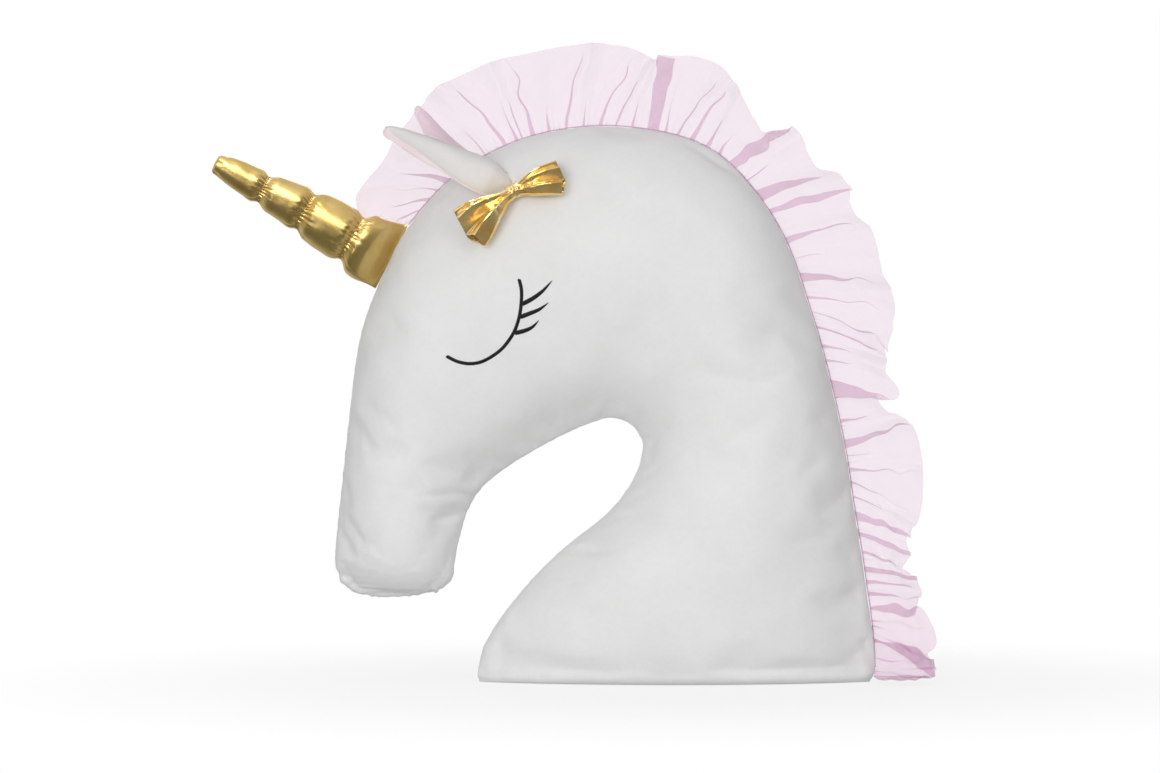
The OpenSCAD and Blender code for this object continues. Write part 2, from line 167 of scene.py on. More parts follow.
def remesh(obj, voxel):
    """Rebuilds obj's mesh as one even skin."""
    modifier = obj.modifiers.new("remesh", "REMESH")
    modifier.mode = "VOXEL"
    modifier.voxel_size = voxel
    apply_modifiers(obj)


def weld(obj, distance=1e-6):
    """Joins vertices at one place and turns every face outward."""
    bm = bmesh.new()
    bm.from_mesh(obj.data)
    bmesh.ops.remove_doubles(bm, verts=bm.verts, dist=distance)
    bmesh.ops.recalc_face_normals(bm, faces=bm.faces)
    bm.to_mesh(obj.data)
    bm.free()
    obj.data.shade_smooth()


def tree_of(obj):
    bm = bmesh.new()
    bm.from_mesh(obj.data)
    tree = BVHTree.FromBMesh(bm)
    bm.free()
    return tree


ANY_WAY = (0.31, 0.52, 0.79)  # no thread runs this way


def tube(name, path, radius, material, sides=8, closed=False, ends=0.35):
    """A thread along path, in metres, with a narrowed end where it goes into the cloth."""
    path = np.asarray(path, float)
    count = len(path)
    radius = np.broadcast_to(np.asarray(radius, float), (count,)).copy()
    if closed:
        ahead = unit(np.roll(path, -1, 0) - np.roll(path, 1, 0))
    else:
        ahead = unit(np.gradient(path, axis=0))
        radius[0] *= ends
        radius[-1] *= ends
    side = unit(np.cross(ahead, ANY_WAY))
    up = np.cross(ahead, side)
    turn = np.linspace(0, 2 * np.pi, sides, endpoint=False)
    rings = path[:, None] + radius[:, None, None] * (
        side[:, None] * np.cos(turn)[None, :, None] + up[:, None] * np.sin(turn)[None, :, None]
    )
    if closed:
        last = (count - 1) * sides
        faces = grid_faces(count, sides, wrap=True).tolist()
        for j in range(sides):
            k = (j + 1) % sides
            faces.append([last + j, last + k, k, j])
    else:
        faces = capped_faces(count, sides)
    obj = make_piece(name, rings.reshape(-1, 3), faces, material)
    weld(obj)
    return obj


def joined(name, objs):
    """Several meshes as one piece."""
    verts, faces, start = [], [], 0
    for o in objs:
        co = coords(o)
        verts.append(co)
        faces += [[start + v for v in p.vertices] for p in o.data.polygons]
        start += len(co)
    material = objs[0].data.materials[0]
    for o in objs:
        bpy.data.objects.remove(o)
    return make_piece(name, np.concatenate(verts), faces, material)


# ---- Materials -------------------------------------------------------------------------


class Paint:
    """A procedural material round one Principled shader."""

    def __init__(self, name, **sockets):
        self.material = bpy.data.materials.new(name)
        self.material.use_nodes = True
        self.tree = self.material.node_tree
        self.shader = self.tree.nodes["Principled BSDF"]
        for key, value in sockets.items():
            self.shader.inputs[key.replace("_", " ").title().replace("Ior", "IOR")].default_value = value
        self.place = self.add("ShaderNodeTexCoord").outputs["Object"]

    def add(self, kind, **values):
        node = self.tree.nodes.new(kind)
        for key, value in values.items():
            setattr(node, key, value)
        return node

    def link(self, a, b):
        self.tree.links.new(a, b)

    def texture(self, kind, **inputs):
        """A texture node at the piece's own places."""
        node = self.add(kind)
        for key, value in inputs.items():
            node.inputs[key].default_value = value
        self.link(self.place, node.inputs["Vector"])
        return node

    def noise(self, scale, detail, rough, stretch=None):
        node = self.texture("ShaderNodeTexNoise", Scale=scale, Detail=detail, Roughness=rough)
        if stretch:
            mapping = self.texture("ShaderNodeMapping", Scale=stretch)
            self.link(mapping.outputs["Vector"], node.inputs["Vector"])
        return node.outputs["Fac"]

    def bands(self, **inputs):
        """Slanting bands, as of twisted or woven threads."""
        node = self.texture("ShaderNodeTexWave", **inputs)
        node.wave_type, node.bands_direction = "BANDS", "DIAGONAL"
        return node.outputs["Fac"]

    def ramp(self, fac, stops):
        node = self.add("ShaderNodeValToRGB")
        while len(node.color_ramp.elements) < len(stops):
            node.color_ramp.elements.new(0.5)
        for element, (place, colour) in zip(node.color_ramp.elements, stops):
            element.position = place
            element.color = (*colour, 1)
        self.link(fac, node.inputs["Fac"])
        return node.outputs["Color"]

    def math(self, how, a, b=None, c=None):
        node = self.add("ShaderNodeMath", operation=how)
        for socket, value in zip(node.inputs, (a, b, c)):
            if value is None:
                continue
            if isinstance(value, (int, float)):
                socket.default_value = value
            else:
                self.link(value, socket)
        return node.outputs[0]

    def mixed(self, a, b, share):
        """That share of a, and the rest of b."""
        return self.math("ADD", self.math("MULTIPLY", a, share), self.math("MULTIPLY", b, 1 - share))

    def bump(self, *layers):
        """Layers are (height, strength, distance in metres)."""
        last = None
        for height, strength, distance in layers:
            node = self.add("ShaderNodeBump")
            node.inputs["Strength"].default_value = strength
            node.inputs["Distance"].default_value = distance
            self.link(height, node.inputs["Height"])
            if last:
                self.link(last, node.inputs["Normal"])
            last = node.outputs["Normal"]
        self.link(last, self.shader.inputs["Normal"])

    def colour(self, socket):
        self.link(socket, self.shader.inputs["Base Color"])


def velour(name, light, dark, sheen=0.35):
    p = Paint(name, roughness=0.95, sheen_weight=sheen, sheen_roughness=0.45, specular_ior_level=0.12)
    clumps = p.noise(260, 3, 0.6)
    patches = p.noise(22, 3, 0.55)
    pile = p.noise(1500, 2, 0.7)
    streaks = p.noise(420, 2, 0.6, stretch=(1, 1, 0.45))
    tone = p.mixed(p.mixed(clumps, patches, 0.35), pile, 0.8)
    p.colour(p.ramp(tone, [(0.30, dark), (0.62, light)]))
    p.bump((patches, 0.10, 0.0020), (streaks, 0.16, 0.0007), (pile, 0.42, 0.00045))
    return p.material


def metal_cloth(name):
    """Woven cloth with a metallic face, as on the horn."""
    p = Paint(name, metallic=0.88, roughness=0.34, specular_ior_level=0.5)
    grain = p.noise(1800, 2, 0.6)
    patches = p.noise(45, 3, 0.6)
    weave = p.bands(Scale=260, Distortion=1.2, Detail=2)
    golds = [(0.3, (0.62, 0.42, 0.12)), (0.5, (0.74, 0.53, 0.18)), (0.7, (0.80, 0.62, 0.26))]
    p.colour(p.ramp(p.mixed(grain, patches, 0.35), golds))
    p.link(p.ramp(grain, [(0.3, (0.31,) * 3), (0.7, (0.39,) * 3)]), p.shader.inputs["Roughness"])
    p.bump((patches, 0.02, 0.0010), (weave, 0.008, 0.0002), (grain, 0.015, 0.0002))
    return p.material


def foil(name):
    p = Paint(name, metallic=0.78, roughness=0.17, specular_ior_level=0.3)
    creases = p.texture("ShaderNodeTexVoronoi", Scale=130)
    creases.feature = "SMOOTH_F1"
    patches = p.noise(90, 3, 0.6)
    fine = p.noise(900, 2, 0.6)
    golds = [(0.3, (0.97, 0.58, 0.12)), (0.55, (0.99, 0.74, 0.32)), (0.75, (1.0, 0.86, 0.55))]
    p.colour(p.ramp(patches, golds))
    p.link(p.ramp(fine, [(0.3, (0.12,) * 3), (0.75, (0.24,) * 3)]), p.shader.inputs["Roughness"])
    p.bump((creases.outputs["Distance"], 0.18, 0.0009), (fine, 0.08, 0.0002))
    return p.material


NET_PITCH, NET_SLANT = 0.8 * MM, 0.58


def tulle(name):
    """Fine net: threads at two slants leave small holes between them."""
    p = Paint(name, roughness=0.7, sheen_weight=0.25, sheen_roughness=0.4, specular_ior_level=0.2)
    split = p.add("ShaderNodeSeparateXYZ")
    p.link(p.add("ShaderNodeTexCoord").outputs["UV"], split.inputs[0])
    lines = []
    for slant in (NET_SLANT, -NET_SLANT):
        run = p.math("ADD", split.outputs["X"], p.math("MULTIPLY", split.outputs["Y"], slant))
        wave = p.math("SINE", p.math("MULTIPLY", run, 2 * math.pi / NET_PITCH))
        lines.append(p.math("GREATER_THAN", wave, 0.45))
    net = p.math("MAXIMUM", lines[0], lines[1])
    clouds = p.noise(55, 2, 0.5)
    # Gathers are crowded together at the foot, where the strip starts
    foot = p.math("MAXIMUM", p.math("MULTIPLY_ADD", split.outputs["X"], -3.6, 1.0), 0.0)
    base = p.math("MULTIPLY_ADD", clouds, 0.12, 0.12)
    cover = p.math("MULTIPLY_ADD", net, 0.31, p.math("MULTIPLY_ADD", foot, 0.15, base))
    p.link(cover, p.shader.inputs["Alpha"])
    p.colour(p.ramp(clouds, [(0.3, (0.77, 0.46, 0.67)), (0.7, (0.82, 0.54, 0.73))]))
    p.bump((net, 0.2, 0.0002))
    return p.material


def thread(name, light, dark, metallic=0.0, roughness=0.6):
    p = Paint(name, metallic=metallic, roughness=roughness, specular_ior_level=0.35)
    strands = p.bands(Scale=420, Distortion=2.0)
    fluff = p.noise(1600, 2, 0.6)
    p.colour(p.ramp(p.mixed(strands, fluff, 0.6), [(0.25, dark), (0.7, light)]))
    p.bump((strands, 0.5, 0.0003), (fluff, 0.3, 0.0002))
    return p.material


def fibre(name):
    p = Paint(name, roughness=1.0, sheen_weight=0.2, specular_ior_level=0.1)
    tufts = p.noise(60, 4, 0.7)
    strands = p.noise(700, 3, 0.7, stretch=(1, 0.3, 1))
    p.colour(p.ramp(tufts, [(0.3, (0.74, 0.74, 0.73)), (0.7, (0.88, 0.88, 0.87))]))
    p.bump((tufts, 0.6, 0.004), (strands, 0.5, 0.0008))
    return p.material


VELOUR = velour("velour_white", (0.83, 0.83, 0.825), (0.775, 0.775, 0.77))
# A darker copy of the white velour for the near ear's outer cloth: painted shade on the same cloth as the
# head
NEAR_EAR_VELOUR_PAINTED_SHADE = velour("velour_ear_painted_shade", (0.785, 0.765, 0.755), (0.725, 0.70, 0.69))
# One pale pink lining cloth in two copies: the near one darker rose for painted shade, the far one lighter
# for painted light
EAR_LININGS_PAINTED_SHADE_AND_LIGHT = {
    "near": velour("ear_lining_pink", (0.89, 0.77, 0.78), (0.84, 0.70, 0.715), sheen=0.2),
    "far": velour("ear_lining_pale_painted_light", (0.95, 0.885, 0.89), (0.92, 0.845, 0.85), sheen=0.25),
}
LAME = metal_cloth("lame_gold")
FOIL = foil("foil_gold")
TULLE = tulle("tulle_pink")
BLACK = thread("stitch_black", (0.015, 0.014, 0.015), (0.004, 0.004, 0.004), roughness=0.6)
GOLD_THREAD = thread("thread_gold", (0.62, 0.42, 0.17), (0.34, 0.21, 0.07), metallic=0.5, roughness=0.45)
WHITE_THREAD = thread("thread_white", (0.84, 0.84, 0.83), (0.68, 0.68, 0.67))
PINK_THREAD = thread("thread_pink", (0.80, 0.52, 0.72), (0.62, 0.36, 0.55))
FIBRE = fibre("filling_white")


# ---- The stuffed head ------------------------------------------------------------------

# Ribs across the head, in millimetres, from the base up the neck, over the crown and down
# to the muzzle: outer x, outer z, inner x, inner z, half thickness, edge power
RIBS = np.array([
    [150, 1.6, -150, 1.6, 50, 0.74], [148, 30, -145, 28, 56, 0.66], [143, 63, -122, 62, 60, 0.60],
    [138, 98, -89, 97, 62, 0.57], [132, 134, -52, 127, 62, 0.56], [127, 168, -33, 152, 61, 0.56],
    [118, 212, -26, 174, 61, 0.56], [102, 272, -29, 187, 62, 0.56], [75, 343, -38, 195, 64, 0.56],
    [27, 398, -51, 198, 66, 0.56], [-40, 416, -68, 193, 67, 0.56], [-105, 410, -88, 184, 67, 0.56],
    [-159, 385, -110, 172, 66, 0.56], [-198, 346, -129, 160, 64, 0.56],
    [-222, 302, -146, 146, 61, 0.56], [-238, 256, -157, 129, 57, 0.56],
    [-246, 196, -162, 112, 52, 0.56], [-251, 150, -165, 100, 48, 0.56],
    [-255, 112, -167, 88, 44, 0.56], [-256, 88, -168, 79, 37, 0.56], [-248, 71, -176, 70, 24, 0.56],
    [-230, 65, -192, 66, 12, 0.56], [-211, 64, -211, 64, 2, 0.56],
])
SEAM_ANGLES = [0, 0.9, 2.2, 4.0, 6.4, 9.2]  # close to a seam, in degrees
ANGLES = np.radians(np.array(
    SEAM_ANGLES + list(np.arange(12.2, 168, 2.836)) + [180 - a for a in SEAM_ANGLES[::-1]]
))
LAST_RING = 21.95
RINGS = np.linspace(0, LAST_RING, 440)
BASE_SEAM_Z, BASE_ROUND = 1.6, 11.0
BASE_HALF_LENGTH, BASE_HALF_WIDTH = 150.0, 50.0


def head_points(rings, angles, side):
    """Places on the sewn head, in metres, as rows of rings by columns of angles."""
    r = spline(RIBS, rings)[:, None, :]
    a = np.asarray(angles)[None, :]
    u = (1 - np.cos(a)) / 2
    x = r[..., 0] + (r[..., 2] - r[..., 0]) * u
    z = r[..., 1] + (r[..., 3] - r[..., 1]) * u
    y = side * r[..., 4] * np.power(np.clip(np.sin(a), 0, 1), 2 * r[..., 5])
    y = np.where((a < 1e-6) | (a > math.pi - 1e-6), 0, y)
    return np.stack([x, y, z], -1) * MM


def outline(s):
    """The head's seam in its own plane, in millimetres, at rib numbers s, and its outward normal."""
    past, p, ahead = (spline(RIBS, s + step)[..., :2] for step in (-0.05, 0, 0.05))
    v = unit(ahead - past)
    return p, np.stack([v[..., 1], -v[..., 0]], -1)


def closed_head(rings, angles, base_steps):
    """Vertices and faces of the whole head with its flat base."""
    near = head_points(rings, angles, NEAR)
    far = head_points(rings, angles[1:-1], FAR)[:, ::-1]
    body = np.concatenate([near, far], 1)
    rows, cols = body.shape[:2]
    verts = [body.reshape(-1, 3)]
    faces = grid_faces(rows, cols, wrap=True).tolist()
    tip = rows * cols
    verts.append(body[-1].mean(0)[None])
    faces += [[(rows - 1) * cols + j, (rows - 1) * cols + (j + 1) % cols, tip] for j in range(cols)]
    # The base runs across from the near edge to the far edge under each angle
    edge = near[0]
    across = np.linspace(-1, 1, base_steps)
    base = np.repeat(edge[:, None], base_steps, 1)
    base[..., 1] = np.abs(edge[:, None, 1]) * across
    rise = np.abs(across) ** 10
    base[..., 2] = (0.3 + (BASE_SEAM_Z - 0.3) * rise) * MM
    base[0, :, 2] = base[-1, :, 2] = BASE_SEAM_Z * MM
    verts.append(base.reshape(-1, 3))
    faces += grid_faces(len(edge), base_steps, start=tip + 1).tolist()
    return np.concatenate(verts), faces


verts, faces = closed_head(RINGS, ANGLES, 25)
cushion = make_piece("cushion_cover", verts, faces, VELOUR)
weld(cushion, 2e-5)


def stuff(obj, voxel, pressure, cap, frames, shrink):
    """A tree of obj's surface after a cloth simulation of its stuffing, held at its seams."""
    copy = placed(obj.name + "_work", obj.data.copy())
    remesh(copy, voxel)
    co, out = coords(copy), normals(copy)
    held = 1 - smoothstep(np.abs(co[:, 1]), 1.5 * MM, 5 * MM)
    held = np.maximum(held, 1 - smoothstep(co[:, 2], 2.5 * MM, 6 * MM))
    start = co - out * (shrink * smoothstep(np.abs(co[:, 1]), 3 * MM, 18 * MM))[:, None]
    set_coords(copy, start)
    group = copy.vertex_groups.new(name="seams")
    for level in np.linspace(0.1, 1, 10):
        found = np.nonzero((held > level - 0.1) & (held <= level))[0]
        group.add(found.tolist(), float(level), "REPLACE")
    cloth = copy.modifiers.new("cloth", "CLOTH")
    cloth.settings.vertex_group_mass = "seams"
    cloth.settings.quality = 6
    cloth.settings.effector_weights.gravity = 0
    cloth.settings.use_pressure = True
    cloth.settings.uniform_pressure_force = pressure
    cloth.settings.shrink_min = -0.02
    cloth.collision_settings.use_collision = False
    cloth.point_cache.frame_start, cloth.point_cache.frame_end = 1, frames
    scene = bpy.context.scene
    for f in range(1, frames + 1):
        scene.frame_set(f)
    apply_modifiers(copy)
    moved = coords(copy) - co
    length = np.linalg.norm(moved, axis=1)
    moved *= (np.minimum(length, cap) / np.maximum(length, 1e-9))[:, None]
    set_coords(copy, co + moved)
    scene.frame_set(1)
    tree = tree_of(copy)
    bpy.data.objects.remove(copy)
    return tree


def fit_to(obj, tree, reach):
    """obj's vertices, their normals, and how far along them each is from the surface in tree."""
    co, out = coords(obj), normals(obj)
    move = np.zeros(len(co))
    for i, (p, n) in enumerate(zip(co, out)):
        p, n = Vector(p), Vector(n)
        best = None
        for way in (1, -1):
            hit = tree.ray_cast(p, n * way, reach)
            if hit[0] is not None and (best is None or hit[3] < abs(best)):
                best = hit[3] * way
        move[i] = best or 0.0
    return co, out, move


def smooth_over(obj, values, turns):
    """Averages values with each vertex's neighbours, a few times."""
    edges = np.zeros(len(obj.data.edges) * 2, int)
    obj.data.edges.foreach_get("vertices", edges)
    a, b = edges[::2], edges[1::2]
    count = np.bincount(np.concatenate([a, b]), minlength=len(values)).astype(float)
    for _ in range(turns):
        total = np.bincount(a, values[b], len(values)) + np.bincount(b, values[a], len(values))
        values = 0.5 * values + 0.5 * total / np.maximum(count, 1)
    return values


swollen = stuff(cushion, voxel=5 * MM, pressure=4.0, cap=7 * MM, frames=20, shrink=3 * MM)
co, out, move = fit_to(cushion, swollen, 12 * MM)
move = smooth_over(cushion, move, 3)
move *= smoothstep(co[:, 2], 1.7 * MM, 12 * MM) * smoothstep(np.abs(co[:, 1]), 0, 4 * MM)
set_coords(cushion, co + out * move[:, None])


# Worn-in creases: places along each in millimetres, its depth and its half width
NEAR_CREASES = [
    ([(-149, 139), (-166, 142), (-182, 141), (-196, 140)], 1.7, 2.6),
    ([(-159, 128), (-170, 124), (-182, 122)], 1.2, 2.2),
    ([(-253, 82), (-249, 80), (-244, 79)], 1.0, 1.8),
    ([(-186, 72), (-185, 68), (-187, 64)], 1.2, 2.4),
    ([(-150, 10), (-143, 8), (-136, 7)], 0.9, 2.0),
    ([(-104, 84), (-100, 83), (-96, 85)], 0.9, 2.0),
    ([(-24, 176), (-14, 186), (-8, 200)], 0.9, 4.0),
    ([(141, 30), (145, 18), (149, 6)], 1.3, 2.6),
]
FAR_CREASES = [
    ([(-150, 141), (-168, 145), (-186, 147)], 1.5, 2.6),
    ([(-158, 129), (-170, 128), (-180, 129)], 1.0, 2.2),
    ([(-252, 84), (-246, 81), (-240, 80)], 1.0, 1.8),
    ([(-198, 72), (-197, 66), (-199, 62)], 1.2, 2.4),
    ([(-140, 12), (-132, 9), (-122, 8)], 0.9, 2.0),
    ([(-26, 178), (-18, 190), (-14, 204)], 0.9, 4.0),
    ([(140, 26), (145, 15), (149, 5)], 1.2, 2.6),
]
CREASE_STEPS = 24


def crease(co, out, line, depth, half_width, side):
    """A soft crease pressed in along a line on one side, with a slight swell beside it."""
    line = spline(line, np.linspace(0, len(line) - 1, CREASE_STEPS)) * MM
    flat = co[:, [0, 2]]
    gaps = np.linalg.norm(flat[:, None] - line[None], axis=2)
    k = gaps.argmin(1)
    gap = gaps[np.arange(len(co)), k]
    share = k / (CREASE_STEPS - 1)
    fade = np.sin(np.pi * np.clip(share * 0.85 + 0.13, 0, 1)) ** 0.7
    w = half_width * MM
    press = -np.exp(-((gap / w) ** 2)) + 0.30 * np.exp(-(((gap - 2.3 * w) / w) ** 2))
    on_side = smoothstep(side * co[:, 1], 0.0, 4 * MM)
    return out * (press * depth * MM * fade * on_side)[:, None]


def base_inset(z):
    """How far in the cover is drawn at heights z, in millimetres, above its base seam."""
    drop = np.clip(BASE_ROUND - np.maximum(z, BASE_SEAM_Z), 0, None)
    return BASE_ROUND - np.sqrt(BASE_ROUND**2 - drop**2)


def seam_lengths(co, reach):
    """Length along the head's seam of the nearest place on it, for vertices within that reach."""
    step = np.linspace(0, LAST_RING, 900)
    outer = spline(RIBS, step)[:, :2] * MM
    inner = spline(RIBS, step)[:, 2:4] * MM
    loop = np.concatenate([outer, inner[::-1]])
    gone = lengths_along(loop)
    flat = co[:, [0, 2]]
    length = np.zeros(len(co))
    for part in np.array_split(np.nonzero(np.abs(co[:, 1]) < reach)[0], 40):
        k = np.linalg.norm(flat[part][:, None] - loop[None], axis=2).argmin(1)
        length[part] = gone[k]
    return length


def finish_cushion(obj):
    co, out = coords(obj), normals(obj)
    y = np.abs(co[:, 1])
    length = seam_lengths(co, 30 * MM)
    move = np.zeros_like(co)
    # Puckers: the cloth gathers a little where it meets each seam
    pucker = ripple_1d(length, 15 * MM, 11) * 0.6 + ripple_1d(length, 7 * MM, 12) * 0.4
    muzzle = np.exp(-(((co[:, 2] - 0.066) / 0.014) ** 2)) * (co[:, 0] < -0.17)
    strength = 0.22 + 0.55 * muzzle
    fall = np.exp(-((y / (9 * MM)) ** 1.3)) * smoothstep(y, 0.3 * MM, 3 * MM)
    move += out * (pucker * strength * fall * MM)[:, None]
    # The seam itself: a narrow valley between two slightly raised edges
    valley = -1.15 * np.exp(-((y / (0.9 * MM)) ** 2))
    valley = valley + 0.22 * np.exp(-(((y - 3.4 * MM) / (1.6 * MM)) ** 2))
    above = smoothstep(co[:, 2], 1.7 * MM, 6 * MM)
    move += out * (valley * MM * above * (y < 12 * MM))[:, None]
    # Puckers above the base's own seam
    foot = np.exp(-(((co[:, 2] - 6 * MM) / (6 * MM)) ** 2)) * smoothstep(co[:, 2], 1.8 * MM, 4 * MM)
    gathers = ripple(np.stack([co[:, 0], co[:, 1] * 0.6], 1), 13 * MM, 13)
    move += out * ((gathers * 0.45 + 0.5) * foot * MM)[:, None]
    # Slow unevenness of the stuffing under the cloth
    lumps = ripple(co, 70 * MM, 14) * 0.45 + ripple(co, 32 * MM, 15) * 0.14
    body = smoothstep(y, 4 * MM, 25 * MM) * smoothstep(co[:, 2], 3 * MM, 25 * MM)
    move += out * (lumps * body * MM)[:, None]
    for side, creases in ((NEAR, NEAR_CREASES), (FAR, FAR_CREASES)):
        for line, depth, half_width in creases:
            move += crease(co, out, line, depth, half_width, side)
    done = co + move
    done[:, 2] = np.maximum(done[:, 2], 0.25 * MM)
    # The stuffing rounds the cover in towards its base seam
    inward = base_inset(co[:, 2] / MM)
    done[:, 0] *= 1 - inward * (0.3 + 0.7 * smoothstep(co[:, 0], -0.1, 0.1)) / BASE_HALF_LENGTH
    done[:, 1] *= 1 - inward / BASE_HALF_WIDTH
    set_coords(obj, done)


finish_cushion(cushion)
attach(cushion, "cushion")
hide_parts("near_side_panel", "far_side_panel", "base_panel")
SKIN = tree_of(cushion)


def skin(x, z, side):
    """The cover's surface and outward normal at a place given in millimetres."""
    hit = SKIN.ray_cast(Vector((x * MM, side * 0.3, z * MM)), Vector((0, -side, 0)))
    if hit[0] is None:
        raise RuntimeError(f"nothing of the cover at {x}, {z}")
    return np.array(hit[0]), np.array(hit[1])


def loose_core(name, node, inset, material):
    """The fibre inside a cover: the CAD filling, drawn in and given tufts."""
    obj = placed(name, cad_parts[node].data.copy())
    weld(obj, 1e-5)
    remesh(obj, inset * 0.8)
    obj.data.materials.clear()
    obj.data.materials.append(material)
    obj.data.shade_smooth()
    co, out = coords(obj), normals(obj)
    tufts = ripple(co, inset * 4, 21)
    set_coords(obj, co - out * (inset * (1 + 0.2 * tufts))[:, None])
    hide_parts(node)
    return obj


fibre_core = loose_core("fibre_core", "body_filling", 9 * MM, FIBRE)
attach(fibre_core, "cushion")


# ---- Embroidered eye -------------------------------------------------------------------

EYELID = [
    (-117.5, 300.5), (-115.7, 292), (-116, 281.5), (-117.8, 271), (-121.8, 260.5), (-129, 250.5),
    (-137, 244), (-146, 239.5), (-154.5, 238.4), (-163, 240), (-171, 244),
]
LASHES = [
    [(-115.3, 282.0), (-107.7, 286.0), (-100.3, 291.5), (-93.2, 299.2)],
    [(-116.7, 272.5), (-109.6, 275.2), (-102.2, 278.4), (-96.0, 283.0)],
    [(-120.6, 260.8), (-113.2, 262.6), (-107.7, 265.3), (-103.0, 270.0)],
]
LID_HALF, LASH_HALF = 1.3, 1.7
STROKE_RISE = 0.85
STITCH_PITCH = 0.75
STROKE_PLACES = (-1, -0.82, -0.45, 0, 0.45, 0.82, 1)


def embroidery(name, line, side, wide, tip, taper):
    """A raised line of satin stitching on the cover, its threads lying across it."""
    line = np.asarray(line, float)
    fine = spline(line, np.linspace(0, len(line) - 1, 400))
    gone = lengths_along(fine)
    steps = int(gone[-1] / (STITCH_PITCH / 3))
    at = np.linspace(0, gone[-1], steps + 1)
    centre = np.stack([np.interp(at, gone, fine[:, k]) for k in (0, 1)], 1)
    ahead = unit(np.gradient(centre, axis=0))
    across = np.stack([-ahead[:, 1], ahead[:, 0]], 1)
    share = at / gone[-1]
    stitch = 0.5 + 0.5 * np.cos(2 * np.pi * at / STITCH_PITCH)
    half = wide * (1 + (tip - 1) * share**taper)
    half = half * np.sqrt(np.clip(np.minimum(at, gone[-1] - at) / 1.0 + 0.15, 0, 1))
    half = half * (1 + 0.07 * stitch + 0.03 * ripple_1d(at, 2.0, 31))
    rows = []
    for i in range(steps + 1):
        top, bottom = [], []
        for c in STROKE_PLACES:
            # The threads lie across the line at a slight slant
            p = centre[i] + across[i] * half[i] * c + ahead[i] * 0.28 * c
            q, n = skin(p[0], p[1], side)
            rise = STROKE_RISE * math.sqrt(max(0.0, 1 - c * c)) * (0.72 + 0.28 * stitch[i])
            top.append(q + n * (rise - 0.12) * MM)
            bottom.append(q - n * 0.5 * MM)
        rows.append(top + bottom[::-1])
    verts = np.array(rows)
    obj = make_piece(name, verts.reshape(-1, 3), capped_faces(*verts.shape[:2]), BLACK)
    weld(obj)
    return obj


for side, word in ((NEAR, "near"), (FAR, "far")):
    lid = embroidery(f"{word}_eyelid_line", EYELID, side, LID_HALF, 1.0, 1.0)
    lashes = joined(
        f"{word}_lash_lines",
        [embroidery(f"lash_{i}", lash, side, LASH_HALF, 0.12, 2.6) for i, lash in enumerate(LASHES)],
    )
    for obj, node in ((lid, f"{word}_eyelid_stitch"), (lashes, f"{word}_lash_stitches")):
        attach(obj, "cushion")
        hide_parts(node)


# ---- Mane ------------------------------------------------------------------------------

# Width of the ruffle as it lies, in millimetres, at lengths along the seam from its foot
RUFFLE_WIDTHS = np.array([
    (0, 44), (18, 43), (30, 37), (40, 47), (52, 31), (60, 41), (72, 38), (80, 28), (88, 37),
    (98, 33), (106, 40), (116, 48), (134, 54), (156, 55), (174, 56), (186, 52), (196, 37),
    (204, 31), (210, 48), (222, 42), (240, 46), (254, 56), (268, 62), (280, 63), (292, 59),
    (308, 62), (324, 63), (334, 56), (342, 54), (348, 62), (360, 60), (368, 47), (378, 47),
    (392, 55), (399, 52), (406, 32), (420, 40), (432, 52), (442, 60), (456, 61), (470, 57),
    (481, 53), (492, 59), (506, 63), (524, 62), (556, 61), (580, 63), (610, 62), (624, 60),
    (634, 54), (646, 46), (658, 41), (668, 46), (680, 50),
], float)
